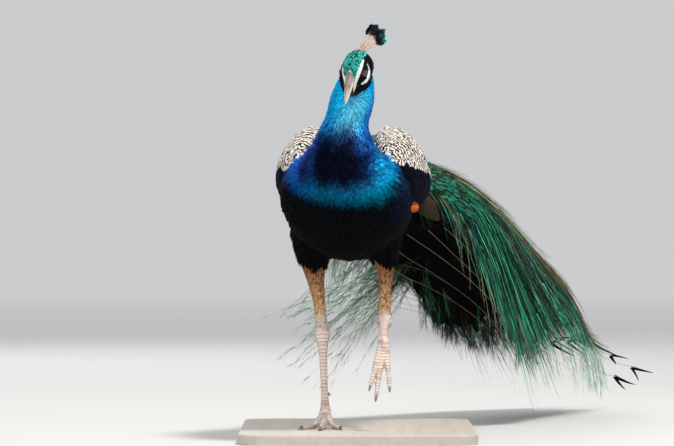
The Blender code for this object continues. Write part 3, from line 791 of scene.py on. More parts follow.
def spread(mesh, keep, spacing, seed):
    """Even points and their normals over the part of a mesh where keep is true; spacing is per vertex."""
    rng = np.random.default_rng(seed)
    mesh.calc_loop_triangles()
    tris = np.empty(len(mesh.loop_triangles) * 3, np.int32)
    mesh.loop_triangles.foreach_get("vertices", tris)
    tris = tris.reshape(-1, 3)
    points, normals = mesh_points(mesh)
    tris = tris[keep[tris].all(axis=1)]
    a, b, c = (points[tris[:, k]] for k in range(3))
    area = np.linalg.norm(np.cross(b - a, c - a), axis=1) / 2
    gap = spacing[tris].mean(axis=1)
    want = area / gap**2
    count = int(want.sum() * 4.5)
    pick = rng.choice(len(tris), count, p=want / want.sum())
    r1, r2 = np.sqrt(rng.random(count)), rng.random(count)
    w = np.stack([1 - r1, r1 * (1 - r2), r1 * r2], axis=1)[:, :, None]
    place = (np.stack([a[pick], b[pick], c[pick]], axis=1) * w).sum(1)
    normal = unit((normals[tris[pick]] * w).sum(1))
    gap = gap[pick]
    # each point stays if no earlier one lies too near; cells as wide as the widest gap hold them
    grid, kept = {}, []
    cells = np.floor(place / gap.max()).astype(int).tolist()
    for i, ((px, py, pz), (kx, ky, kz)) in enumerate(zip(place.tolist(), cells)):
        reach = (gap[i] * 0.82) ** 2
        around = (q for dx, dy, dz in NEIGHBOURS for q in grid.get((kx + dx, ky + dy, kz + dz), ()))
        if not any((qx - px) ** 2 + (qy - py) ** 2 + (qz - pz) ** 2 < reach for qx, qy, qz in around):
            grid.setdefault((kx, ky, kz), []).append((px, py, pz))
            kept.append(i)
    return place[kept], normal[kept]


# share along the feather, half width as a share of its widest
SMALL_SHAPE = ((0.0, 0.30), (0.5, 1.0), (0.84, 0.74), (1.0, 0.05))
LANCE_SHAPE = ((0.0, 0.35), (0.4, 1.0), (0.72, 0.66), (1.0, 0.04))
DOWN_SHAPE = ((0, 0.35), (0.3, 0.85), (0.6, 1.0), (0.85, 0.7), (1, 0.1))
ROUND_SHAPE = ((0.0, 0.3), (0.2, 0.7), (0.42, 0.95), (0.62, 1.0), (0.78, 0.9), (0.9, 0.66), (0.97, 0.36),
               (1.0, 0.08))


def lay_feathers(name, tree, roots, normals, ways, length, width, height, shape, columns, colour_of,
                 material, slot_name, unwrap, seed, cup=0.12, splay=0.0, curl=0.0):
    """Vanes that follow the skin from their roots, each bowed across and lifted to height at its tip."""
    rng = np.random.default_rng(seed)
    n = len(roots)
    T, C, H = vane_grid(shape, np.linspace(-1, 1, columns))
    each = (n, 1, 1)
    length, width, height = (np.broadcast_to(v, n).reshape(each) for v in (length, width, height))
    length = length * rng.uniform(0.86, 1.14, each)
    side = unit(np.cross(normals, ways))
    twist = rng.normal(0, 0.10, n) + splay * rng.normal(0, 1, n)
    ways = unit(ways + side * twist[:, None])
    side = unit(np.cross(normals, ways))
    along = (T - 0.06 * C**2 * (T > 0.6)) * length
    across = C * H * width / 2
    roots4, ways, side, normals = (a[:, None, None] for a in (roots, ways, side, normals))
    flat = roots4 + ways * along[..., None] + side * across[..., None] + normals * 0.002
    rise = height * (0.25 + 0.75 * T**0.8) * rng.uniform(0.8, 1.2, each)
    rise = rise + cup * width * H * (1 - C**2)
    rise = rise + curl * length * T**3
    rise = rise + rng.uniform(0, 0.0004, each)
    out = np.empty((flat.size // 3, 3))
    for i, (p, h) in enumerate(zip(flat.reshape(-1, 3).tolist(), rise.ravel())):
        at, up, _, _ = tree.find_nearest(p)
        out[i] = (at.x + up.x * h, at.y + up.y * h, at.z + up.z * h)
    colours = colour_of(roots, T, C, rng)
    along = along + rng.uniform(0, 5, each)
    return build_vanes(name, out, colours, material, T, C, unwrap(roots), along, across)


def rim_colour(regions, rim=0.45, rim_from=0.72, glow=0.25, spread_by=0.12, tint=None):
    """Feather colour: the body's own colour, brighter in the middle and darker at the rim."""

    def colour_of(roots, T, C, rng):
        own = body_colour(roots, regions)
        if tint is not None:
            own = tint(own, roots, rng)
        own = own * rng.uniform(1 - spread_by, 1 + spread_by, (len(roots), 1))
        edge = np.maximum(smooth(T, rim_from, 1.0), smooth(np.abs(C), 0.7, 1.1) * (T > 0.3))
        shade = 1 + glow * (1 - edge) * T - rim * edge
        return own[:, None, None] * shade[None, :, :, None]

    return colour_of


def body_unwrap(points):
    """Round the body and down it, as an unwrap of the skin."""
    x, y, z = to_bird(points).T
    down = np.clip((0.66 - z) / 0.36, 0, 1) * 0.5 + np.clip((y + 0.16) / 0.46, 0, 1) * 0.5
    round_angle = np.arctan2(x, -(y + 0.03) - (0.5 - z) * 0.4) / (2 * np.pi) + 0.5
    return np.stack([0.02 + 0.95 * round_angle, 0.02 + 0.95 * down], axis=1)


def head_unwrap(points):
    """Round the head and back along it."""
    f, s, c = to_head(points).T
    angle = np.arctan2(s, c) / (2 * np.pi) + 0.5
    return np.stack([0.02 + 0.95 * angle, 0.02 + 0.95 * np.clip((f + 0.04) / 0.09, 0, 1)], axis=1)


def side_unwrap(points):
    """Length and height of a wing or a leg, as an unwrap of its side; its two faces lie apart."""
    x, y, z = to_bird(points).T
    across = np.clip((y + 0.12) / 0.46, 0, 1)
    up = np.clip((z - 0.14) / 0.38, 0, 1)
    inner = (np.abs(x) < 0.055) * 0.5
    return np.stack([0.02 + 0.95 * across, 0.01 + 0.47 * up + inner], axis=1)


def lay_body(skin, points, regions):
    """All contour feathers over the skin, region by region."""
    tree = tree_of(skin)
    b = to_bird(points)
    h = to_head(points)
    x, y, z = b.T
    white, black = face_marks(points)
    near = kd_tree(points)

    def lay(name, keep, spacing, length, width, height, shape, columns, material, slot_name, unwrap, seed,
            colours, **more):
        gaps = np.broadcast_to(spacing, len(points)).astype(float)
        roots, normals = spread(skin.data, keep, gaps, seed)
        index = np.array([near.find(p)[1] for p in roots.tolist()])
        sizes = (np.broadcast_to(v, len(points))[index] for v in (length, width, height))
        lay_feathers(name, tree, roots, normals, flow(roots, normals), *sizes, shape, columns,
                     colours(regions[index]), material, slot_name, unwrap, seed, **more)

    # head: nothing over the eyes and the bill
    eyes = [np.linalg.norm(h - (EYE_PLACE[0], side * EYE_PLACE[1], EYE_PLACE[2]), axis=1) for side in (1, -1)]
    on_bill = (h[:, 0] > 0.0125) & (np.abs(h[:, 1]) < (h[:, 0] - 0.0115) * 0.75) & (h[:, 2] > -0.004)
    on_bill = on_bill | (np.linalg.norm(h - (0.041, 0, -0.012), axis=1) <= 0.009)
    head_zone = (regions == HEAD) & (white < 0.4) & (np.minimum(*eyes) > 0.0078) & ~on_bill
    face = head_zone & (black > 0.5)
    crown_length = 0.0036 + 0.0030 * smooth(-h[:, 0], 0.0, 0.03)
    lay("plumage_crown", head_zone & ~face, 0.0021, crown_length, 0.0030, 0.0018, SMALL_SHAPE, 3, "crown",
        "crown_feather", head_unwrap, 11, lambda r: rim_colour(r, 0.85, 0.55, 0.9, 0.3, dark_flecks),
        curl=0.22, cup=0.2, splay=0.2)
    lay("plumage_face", face, 0.0014, 0.0030, 0.0015, 0.0011, SMALL_SHAPE, 3, "soft",
        "crown_feather", head_unwrap, 12, lambda r: rim_colour(r, 0.3, 0.7, 0.3))
    # neck and breast
    neck_zone = (regions == NECK) | ((regions == TRUNK) & (z > 0.485) & (y < -0.06))
    top = smooth(z, 0.55, 0.62)
    lay("plumage_neck", neck_zone, 0.0034 - 0.0012 * top, 0.0125 - 0.0065 * top, 0.0052 - 0.0022 * top,
        0.0036 - 0.0018 * top, LANCE_SHAPE, 3, "shine", "blue_feather", body_unwrap, 13,
        lambda r: rim_colour(r, 0.35, 0.8, 0.3, 0.2), splay=0.08)
    front = (regions == TRUNK) & ~neck_zone & ((y < -0.045) | (z < 0.455))
    belly = (z < 0.384 + 2.3 * x**2 - 0.10 * x + 0.006 * noise(points, 60, 3)) | (y > 0.02)
    belly = belly | (((x > 0.079) | ((x < -0.096) & (z < 0.415)) | (y > -0.066)) & (z < 0.475))
    belly = belly & front
    # short feathers where the breast meets the wings, so that the border runs smooth
    wings = kd_tree(points[regions == WING])
    near_wing = np.ones(len(points))
    for i in np.nonzero(front & (z > 0.40))[0]:
        near_wing[i] = 0.42 + 0.58 * smooth(wings.find(points[i].tolist())[2], 0.004, 0.022)
    lay("plumage_breast", front & ~belly, 0.0028 + 0.0020 * smooth(near_wing, 0.5, 0.9), 0.0165 * near_wing,
        0.0098 * near_wing, 0.0050 * near_wing, SMALL_SHAPE, 3, "shine", "blue_feather", body_unwrap, 14,
        lambda r: rim_colour(r, 0.4, 0.78, 0.3, 0.15))
    lay("plumage_belly", belly, 0.0062, 0.0240 * np.maximum(near_wing, 0.7), 0.0105, 0.0060 * near_wing,
        LANCE_SHAPE, 3, "soft", "blue_feather", body_unwrap, 15, lambda r: rim_colour(r, 0.2, 0.8, 0.3, 0.3),
        splay=0.2)
    mantle = (regions == TRUNK) & ~neck_zone & ~front
    lay("plumage_mantle", mantle, 0.0078, 0.0220, 0.0170, 0.0056, ROUND_SHAPE, 5, "shine", "blue_feather",
        body_unwrap, 16, scale_colour)
    for tag, sign in (("left", 1), ("right", -1)):
        wing = (regions == WING) & (x * sign > 0)
        low = wing & (z < 0.443 - 0.10 * (y + 0.05))
        size = 0.0074 + 0.007 * smooth(y, 0.0, 0.18)
        lay(f"plumage_wing_{tag}", wing & ~low, size, 2.5 * size, 1.75 * size, 0.0052, ROUND_SHAPE, 5,
            "barred", "barred_feather", side_unwrap, 20 + sign,
            lambda r: rim_colour(r, 0.25, 0.9, 0.05, 0.08))
        lay(f"plumage_wing_{tag}_lower", low, 0.0110, 0.034, 0.019, 0.0046, ROUND_SHAPE, 5, "soft",
            "blue_feather", side_unwrap, 24 + sign, lambda r: rim_colour(r, 0.4, 0.85, 0.4, 0.2, all_dark))
    thigh = regions == THIGH
    hem = thigh_hem(b)
    lay("plumage_thigh", thigh & (z > hem - 0.001), 0.0052, 0.0175, 0.0080, 0.0050, LANCE_SHAPE, 3, "soft",
        "leg_feather", side_unwrap, 31, lambda r: rim_colour(r, 0.2, 0.8, 0.2, 0.3), splay=0.15)
    tibia = thigh & (z <= hem + 0.002) & (z > 0.176)
    lay("plumage_tibia", tibia, 0.0022, 0.0062, 0.0027, 0.0012, SMALL_SHAPE, 3, "soft",
        "leg_feather", side_unwrap, 32, fleck_colour, splay=0.1)


def all_dark(_, roots, rng):
    """The lower wing is navy-black from its first row on."""
    return WING_BLUE * rng.uniform(0.2, 0.6, (len(roots), 1))


def dark_flecks(own, roots, rng):
    """Some feathers of the crown stay nearly black between the bright ones."""
    dark = (rng.random(len(roots)) < 0.33) & (to_head(roots)[:, 0] > -0.030)
    own[dark] *= 0.10
    return own


def scale_colour(regions):
    """Mantle scales: a green middle, a gold band and a black rim."""

    def colour_of(roots, T, C, rng):
        own = body_colour(roots, regions)
        blue = smooth(-to_bird(roots)[:, 1], -0.03, 0.05)[:, None, None, None]
        reach = np.sqrt(((T - 0.45) / 0.55) ** 2 + (0.85 * C) ** 2)
        base = own[:, None, None] * rng.uniform(0.85, 1.15, (len(roots), 1, 1, 1))
        gold = MANTLE_GOLD * (1 - blue) + TEAL * blue
        colour = mix(base, gold * 1.3, bell(reach, 0.62, 0.17))
        return mix(colour, UNDER_BLACK, smooth(reach, 0.82, 0.98))

    return colour_of


def fleck_colour(regions):
    """Buff tibia feathers, many of them with a dark dash near the tip."""

    def colour_of(roots, T, C, rng):
        own = body_colour(roots, regions) * rng.uniform(0.82, 1.12, (len(roots), 1))
        z = to_bird(roots)[:, 2]
        share = 0.12 + 0.34 * smooth(z, 0.190, 0.240)
        dark = ((rng.random(len(roots)) < share) & (z < 0.30))[:, None, None]
        dash = smooth(T, 0.15, 0.30) * smooth(1.15 - np.abs(C), 0.0, 0.4) * dark
        return mix(own[:, None, None] * (1.05 - 0.25 * T)[..., None], TIBIA_FLECK, dash)

    return colour_of


# ---- the train ----
TRAIN_LONG = 1.37  # metres of u from 0 to 1
PAST_TIP = 1.45  # metres of u beyond 1
FISH_REACH = 0.804  # plumes that reach further end in a black fork
WISP_FLOOR = 0.010  # no loose strand hangs lower


def train_point(u, v, lift):
    """Points of the draped train: u from rump to tip, v from right to left hem; and the outward normal."""
    u, v = np.broadcast_arrays(np.asarray(u, float), np.asarray(v, float))
    shape = u.shape
    u, v = u.ravel(), v.ravel()
    row = catmull(TRAIN_SPINE, u)
    along = catmull(TRAIN_SPINE, np.minimum(u + 0.01, 1)) - catmull(TRAIN_SPINE, np.maximum(u - 0.01, 0))
    along = unit(along[:, :3])
    up = np.array((0, 0, 1.0))
    left = unit(np.cross(along, up))
    half = np.where(v > 0, row[:, 5], row[:, 4])
    radius = np.minimum(row[:, 3], half / TRAIN_BEND)
    length = half * np.abs(v)
    turned = np.minimum(length / radius, TRAIN_BEND)
    hanging = length - turned * radius
    across = radius * np.sin(turned) + hanging * math.cos(TRAIN_BEND)
    drop = radius * (1 - np.cos(turned)) + hanging * math.sin(TRAIN_BEND)
    sign = np.sign(v)[:, None]
    place = row[:, :3] + (0, 0, BASE_THICK) + left * sign * across[:, None] - up * drop[:, None]
    normal = unit(left * sign * np.sin(turned)[:, None] + up * np.cos(turned)[:, None])
    normal = unit(normal - along * (normal * along).sum(-1, keepdims=True))
    over = np.maximum(u - 1, 0)[:, None] * along * PAST_TIP
    place = place + over + normal * np.broadcast_to(lift, shape).ravel()[:, None]
    return place.reshape(*shape, 3), normal.reshape(*shape, 3)


def train_half(u, v):
    """Metres across the train from its ridge to the hem on v's side."""
    row = catmull(TRAIN_SPINE, u)
    return np.where(v > 0, row[:, 5], row[:, 4])


# black forked tips that stand clear of the rest: reach and place across the train
CLEAR_TIPS = ((0.850, 0.05), (0.850, 0.46), (0.925, 0.55), (0.842, 0.79))
# ends of their two prongs
CLEAR_PRONGS = (((0.915, 0.17), (0.955, 0.15), (1.000, 0.60), (0.920, 0.94)),
                ((0.856, 0.22), (0.858, 0.60), (0.936, 0.86), (0.880, 1.02)))


LOBE_EDGES = (-0.62, -0.22, 0.22, 0.62)


def plume_paths():
    """Each train feather: where it starts and ends across the train, and how far it reaches."""
    rng = np.random.default_rng(77)
    count = 142
    reach = np.concatenate([rng.uniform(0.30, 0.62, 40), rng.uniform(0.55, 0.80, 102)])
    end = np.empty(count)
    order = np.argsort(reach)
    golden = (np.arange(count) * 0.6180339) % 1
    end[order] = (golden * 2 - 1) * 0.93
    tips = np.array(CLEAR_TIPS)
    hidden = 5
    reach = np.concatenate([reach, tips[:, 0], rng.uniform(0.806, 0.84, hidden)])
    end = np.concatenate([end, tips[:, 1], np.linspace(-0.36, -0.06, hidden)])
    start = end * 0.75 + rng.normal(0, 0.05, len(end))
    return start, end, reach


def plume_at(start, end, reach, s):
    """Place on the train (u, v) at share s along the plumes."""
    u = 0.015 + (reach[:, None] - 0.015) * s[None]
    v = start[:, None] + (end - start)[:, None] * s[None] ** 0.8
    return u, v


def mass_limit(u, v):
    """How far to either hem the train stays dense; past it only wisps hang."""
    left = 1.0 - 0.26 * smooth(u, 0.30, 0.52) - 0.14 * smooth(u, 0.56, 0.72) - 0.08 * smooth(u, 0.74, 0.90)
    left = np.minimum(left, 0.80 + 0.22 * smooth(u, 0.17, 0.27)) - 0.11 * smooth(u, 0.32, 0.42)
    right = 0.50 + 0.18 * smooth(u, 0.25, 0.42) + 0.27 * smooth(u, 0.42, 0.55)
    right = right - 0.38 * smooth(u, 0.60, 0.72) - 0.10 * smooth(u, 0.74, 0.90)
    return np.where(v > 0, left, right)


def train_lean(v):
    """Angle at which the barbs leave the plumes' line: close along the ridge, wide at the hems."""
    return np.radians(11 + 27 * smooth(np.abs(v), 0.40, 0.85))


FLOW_U = np.linspace(0, 1, 101)
FLOW_RUN = [np.cumsum(TRAIN_LONG * 0.01 / train_half(FLOW_U, np.full(101, side))) for side in (-1.0, 1.0)]
FLOW_V = np.linspace(0, 1.6, 161)
FLOW_RISE = np.cumsum(0.01 / np.tan(train_lean(FLOW_V)))


def flow_streak(u, v, seed=0):
    """Locks that follow the barbs' flow, long and narrow: -1 in a dark gap to 1 on a bright lock."""
    run = np.where(v > 0, np.interp(u, FLOW_U, FLOW_RUN[1]), np.interp(u, FLOW_U, FLOW_RUN[0]))
    key = np.interp(np.abs(v), FLOW_V, FLOW_RISE) - run
    place = np.stack([key * 80, u * 14, np.sign(v) * 3 + seed], axis=-1)
    fine = np.stack([key * 230, u * 24, np.sign(v) * 5 + seed], axis=-1)
    return np.clip(1.3 * noise(place, 1.0, 31) + 0.9 * noise(fine, 1.0, 37), -1, 1)


def room_for(u0, v0, side, length, offset, steps, limit, least):
    """Share of its length at which a barb from (u0, v0) ends at its limit across the train."""
    _, v_end = flow_path(u0, v0, side, length, offset, steps)
    return np.clip((limit - np.abs(v0)) / np.maximum(np.abs(v_end[:, -1]) - np.abs(v0), 1e-4), least, 1)


def flow_path(u0, v0, side, length, offset, steps):
    """Places (u, v) along barbs that follow the flow from their roots."""
    u, v = [u0], [v0]
    step = length / (steps - 1)
    for _ in range(steps - 1):
        angle = train_lean(v[-1]) + offset
        half = np.maximum(train_half(u[-1], v[-1]), 0.05)
        u.append(u[-1] + step * np.cos(angle) / TRAIN_LONG)
        v.append(v[-1] + side * step * np.sin(angle) / half)
    return np.stack(u, axis=1), np.stack(v, axis=1)


def build_train():
    start, end, reach = plume_paths()
    rng = np.random.default_rng(5)
    lift = 0.0045 - 0.010 * (reach - 0.3) + rng.uniform(-0.0015, 0.0015, len(start))
    lobes = np.digitize(end, LOBE_EDGES)
    fish = reach > FISH_REACH
    shown = (np.abs(end) < mass_limit(reach, end) - 0.08) & (end > -0.62) & ((reach < 0.70) | (end > -0.12))
    shown = shown & ~fish & (end < -0.02)

    def plumes(pick):
        return start[pick], end[pick], reach[pick], lift[pick]

    for lobe, tag in enumerate(("right_side", "right_top", "centre", "left_top", "left_side")):
        pick = lobes == lobe
        build_shafts(f"train_{tag}_shafts", *plumes(pick))
        barbs = build_barbs(f"train_{tag}_barbs", *plumes(pick), lobe)
        build_strands(f"train_{tag}_strands", lobe)
        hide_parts(f"train_{tag}")
        if (pick & shown).any():
            build_ocelli(f"train_{tag}_eyes", *plumes(pick & shown)[1:], lobe)
    build_fishtails(*plumes(fish)[1:])
    build_train_scales()
    build_underdown()
    build_inner_quills()
    for tag, side in (("right", -1), ("left", 1)):
        build_hem_wisps(f"train_{tag}_hem_wisps", side)


def train_unwrap(u, v):
    """The train laid flat."""
    return np.stack([0.02 + 0.94 * np.clip(u, 0, 1), 0.02 + 0.47 * (np.clip(v, -1, 1) + 1)], axis=-1)


def build_shafts(name, start, end, reach, lift):
    """Pale quills, three-sided and thinning to the tip."""
    s = np.linspace(0, 1, 22)
    u, v = plume_at(start, end, reach, s)
    n, k = u.shape
    long = (reach > FISH_REACH)[:, None]
    centre, normal = train_point(u, v, lift[:, None] - 0.0022 + 0.0080 * long * s[None] ** 2)
    along = unit(np.gradient(centre, axis=1))
    side = unit(np.cross(normal, along))
    radius = 0.0017 - np.where(long, 0.0009, 0.0012) * s
    radius = (radius * np.where((np.abs(v) < mass_limit(u, v)) | long, 1.0, 0.25))[:, :, None]
    thirds = (math.pi / 2, 3.665, 5.76)
    corners = [centre + radius * (side * math.cos(a) + normal * math.sin(a)) for a in thirds]
    index = np.arange(k * 3).reshape(k, 3)
    pairs = ((0, 1), (1, 2), (2, 0))
    quads = [np.stack([index[:-1, a], index[:-1, b], index[1:, b], index[1:, a]], axis=-1) for a, b in pairs]
    faces = repeated(np.concatenate(quads), k * 3, n)
    tone = SHAFT_PALE * np.random.default_rng(3).uniform(0.7, 1.05, (n, 1, 1))
    tone = np.repeat(tone * np.where(long, 1.5, 1.0)[..., None], k * 3, axis=1)
    bake = train_unwrap(np.repeat(u[:, :1], k, 1) + s[None] * BAKE_PATCH, np.repeat(v[:, :1], k, 1))
    bake = np.repeat(bake, 3, axis=1)
    build_piece(name, np.stack(corners, axis=2), faces, tone, "shaft", bake)


def build_barbs(name, start, end, reach, lift, lobe):
    """The loose barbs of each plume: thin ribbons that leave the shaft and droop along the train."""
    rng = np.random.default_rng(100 + lobe)
    scarce = 0.8 if lobe == 0 else 1.0
    rows = []
    for i in range(len(start)):
        last = 0.90 if reach[i] > FISH_REACH else 0.965
        per_side = int((68 + 70 * reach[i]) * scarce)
        s = np.linspace(0.07, last, per_side) + rng.uniform(-0.004, 0.004, per_side)
        for sign in (1.0, -1.0):
            rows.append(np.stack([np.full(per_side, i), s, np.full(per_side, sign)], axis=1))
    i, s, sign = np.concatenate(rows).T
    i = i.astype(int)
    u0 = 0.015 + (reach[i] - 0.015) * s
    v0 = start[i] + (end[i] - start[i]) * s**0.8
    # beyond the dense part few barbs stay
    dense = mass_limit(u0, v0)
    keep = rng.random(len(i)) < (np.abs(v0) < dense) * (1 - 0.75 * smooth(u0, 0.77, 0.81))
    i, s, sign, u0, v0, dense = (a[keep] for a in (i, s, sign, u0, v0, dense))
    n = len(i)
    hem = np.where(v0 > 0, 1.0, -1.0)
    outer = hem == sign
    streak = flow_streak(u0, v0)
    lock = np.sin(s * 40 + i * 2.1) * 0.5 + np.sin(s * 93 + i) * 0.5
    length = 0.070 + 0.022 * outer + 0.010 * lock + rng.uniform(-0.015, 0.032, n)
    length *= 0.55 + 0.45 * smooth(s, 0.05, 0.3)
    length *= 1 - 0.35 * smooth(s, 0.80, 1.0)
    length *= 1 - 0.60 * smooth(u0, 0.72, 0.84)
    length = np.where(rng.random(n) < 0.06, length * 1.4, length)
    offset = np.radians(np.where(outer, 3, -7) + rng.normal(0, 3.0, n) + 2 * lock)
    t = np.linspace(0, 1, 5)
    # each barb has its own limit, so that the hem has no common edge
    limit = dense + np.where(rng.random(n) < 0.08, rng.uniform(0.05, 0.36, n), rng.normal(0.0, 0.05, n))
    length = length * room_for(u0, v0, hem, length, offset, 2, limit, 0.10)
    u, v = flow_path(u0, v0, hem, length, offset, len(t))
    v = v + 0.0016 * np.sin(t[None] * 5 + rng.uniform(0, SINE_TURN, (n, 1)))
    fray = rng.normal(0, 0.0018, (n, 1)) * t[None] + 0.0006 * streak[:, None]
    lines, normals = train_point(u, v, lift[i][:, None] + fray)
    lines[..., 2] = np.maximum(lines[..., 2], 0.006)
    along = unit(np.gradient(lines, axis=1))
    side = unit(np.cross(normals, along) + normals * rng.normal(0, 0.35, (n, 1, 1)))
    widths = np.maximum(0.00024, 0.00100 * (1 - t)[None] ** 0.6) * rng.uniform(0.6, 1.2, (n, 1))
    widths *= 0.7 if lobe == 0 else 1.0
    tone = barb_colour(u[:, 2], v[:, 2], lock, rng)
    tip = 1 - 0.35 * t[:, None] + 0.25 * np.sin(t * 3.1)[:, None]
    return build_strips(name, lines, widths, side, tone[:, None] * tip, "train",
                        train_unwrap(u0, v0), t, length)


def barb_colour(u, v, lock, rng):
    """Emerald and teal, gold and bronze along the ridge, a painted pale green glint on the bright locks and
    black between them.
    """
    n = len(u)
    streak = flow_streak(u, v)
    broad = flow_streak(u * 0.6, v * 0.6, 5)
    colour = mix(EMERALD, TEAL, 0.5 + 0.5 * broad + rng.normal(0, 0.2, n))
    ridge = bell(v, 0.14, 0.15) * smooth(u, 0.20, 0.32)
    ridge = np.clip(ridge + 0.5 * bell(v, -0.05, 0.1) * smooth(u, 0.25, 0.4), 0, 1)
    colour = mix(colour, TRAIN_GOLD, 0.65 * ridge)
    colour = mix(colour, TRAIN_BRONZE, 0.35 * smooth(lock, 0.3, 0.9) + 0.6 * ridge * (rng.random(n) < 0.5))
    # painted glint: pale green on the bright locks
    light = smooth(streak, 0.35, 0.85) * (1 - ridge)
    colour = mix(colour, TRAIN_PALE_GREEN_AND_GLINT, 0.9 * light * rng.uniform(0.2, 1, n))
    dark = smooth(0.26 + 0.22 * smooth(v, 0.40, 0.70) - streak, 0.0, 0.34) * (1 - 0.5 * ridge)
    colour = mix(colour, UNDER_BLACK * 0.7, 0.96 * dark)
    colour = mix(colour, UNDER_BLACK, 0.85 * (rng.random(n) < 0.12))
    under_hem = smooth(np.abs(v) / mass_limit(u, v), 0.86, 1.0) * (v > 0) * smooth(0.45 - u, 0, 0.1)
    olive = mix(SHAFT_PALE, TRAIN_BRONZE, 0.3 + 0.7 * rng.random(n))
    colour = mix(colour, olive, 0.8 * under_hem * (rng.random(n) < 0.7))
    # brighter along the bright locks: more painted glint
    return colour * rng.uniform(0.6, 1.4, (n, 1)) * (1 + 0.7 * streak[:, None])


def build_strands(name, lobe):
    """Long loose strands that flow over the barbs: wavy, in locks, with wisps past the hem and the ridge."""
    rng = np.random.default_rng(500 + lobe)
    low, high = ((-1.0, *LOBE_EDGES, 0.98)[k] for k in (lobe, lobe + 1))
    n = (520, 520, 620, 1500, 1300)[lobe]
    clump = rng.integers(0, n // 9, n)
    clump_u = rng.uniform(0.02, 0.74, n)[clump]
    clump_v = rng.uniform(low, high, n)[clump]
    u0 = np.clip(clump_u + rng.normal(0, 0.018, n), 0.01, 0.82)
    v0 = clump_v + rng.normal(0, 0.020, n)
    keep = np.abs(v0) < mass_limit(u0, v0)
    clump, u0, v0 = (a[keep] for a in (clump, u0, v0))
    n = len(u0)
    t = np.linspace(0, 1, 12)[None]
    hem = np.where(v0 > 0, 1.0, -1.0)
    wisp = rng.random(n) < np.where(np.abs(v0) > 0.72, 0.25, 0.05)
    length = rng.uniform(0.12, 0.30, n) * (1 - 0.45 * smooth(u0, 0.55, 0.9))
    offset = np.radians(rng.normal(0, 2.5, n) + 2.5 * np.sin(clump * 1.7) + wisp * rng.uniform(4, 18, n))
    # each strand has its own end: at the hem, or a little past it, and short of the black tips
    limit = mass_limit(u0, v0) + rng.uniform(-0.12, 0.10, n) + 0.30 * wisp * rng.random(n)
    fits = room_for(u0, v0, hem, length, offset, 6, limit, 0.08)
    u_end, _ = flow_path(u0, v0, hem, length, offset, 6)
    last = rng.uniform(0.76, 0.86, n)
    length = length * np.minimum(fits, np.clip((last - u0) / np.maximum(u_end[:, -1] - u0, 1e-4), 0.12, 1))
    u, v = flow_path(u0, v0, hem, length, offset, t.size)
    wave = 0.0030 * np.sin(t * rng.uniform(4, 11, (n, 1)) + rng.uniform(0, SINE_TURN, (n, 1))) * t
    v = v + hem[:, None] * wave / np.maximum(train_half(u0, v0), 0.06)[:, None]
    ridge = (v0 > -0.10) & (v0 < 0.30) & (u0 > 0.16)
    stray = np.where(ridge, rng.uniform(0, 0.016, n), rng.normal(0, 0.003, n))[:, None] * t**1.5
    streak = flow_streak(u[:, 4], v[:, 4])
    lines, normals = train_point(u, v, 0.0058 * rng.uniform(0.3, 1.1, (n, 1)) + stray)
    lines[..., 2] = np.maximum(lines[..., 2], WISP_FLOOR)
    along = unit(np.gradient(lines, axis=1))
    side = unit(np.cross(normals, along) + normals * rng.normal(0, 0.5, (n, 1, 1)))
    widths = 0.00078 * (1 - 0.75 * t**1.5) * rng.uniform(0.5, 1.3, (n, 1))
    tone = mix(EMERALD, TEAL, rng.random(n))
    # painted glint: pale green on strands in the bright locks
    light = (streak > 0.30) & (rng.random(n) < 0.65)
    tone = mix(tone, TRAIN_PALE_GREEN_AND_GLINT, 0.95 * light + 0.4 * (wisp & ~light))
    tone = mix(tone, UNDER_BLACK * 0.7, 0.96 * ((streak < 0.16 + 0.18 * smooth(v0, 0.40, 0.70)) & ~wisp))
    tone = mix(tone, SHAFT_PALE, 0.8 * (rng.random(n) < 0.05))
    gold = mix(TRAIN_GOLD, TRAIN_BRONZE, rng.random(n))
    tone = mix(tone, gold, 0.9 * (ridge & (rng.random(n) < 0.7)))
    tone = tone * rng.uniform(0.6, 1.5, (n, 1))
    glow = 0.8 + 0.4 * np.sin(t * 7 + rng.uniform(0, SINE_TURN, (n, 1)))
    build_strips(name, lines, widths, side, tone[:, None] * glow[..., None], "train",
                 train_unwrap(u0, v0), t, length)


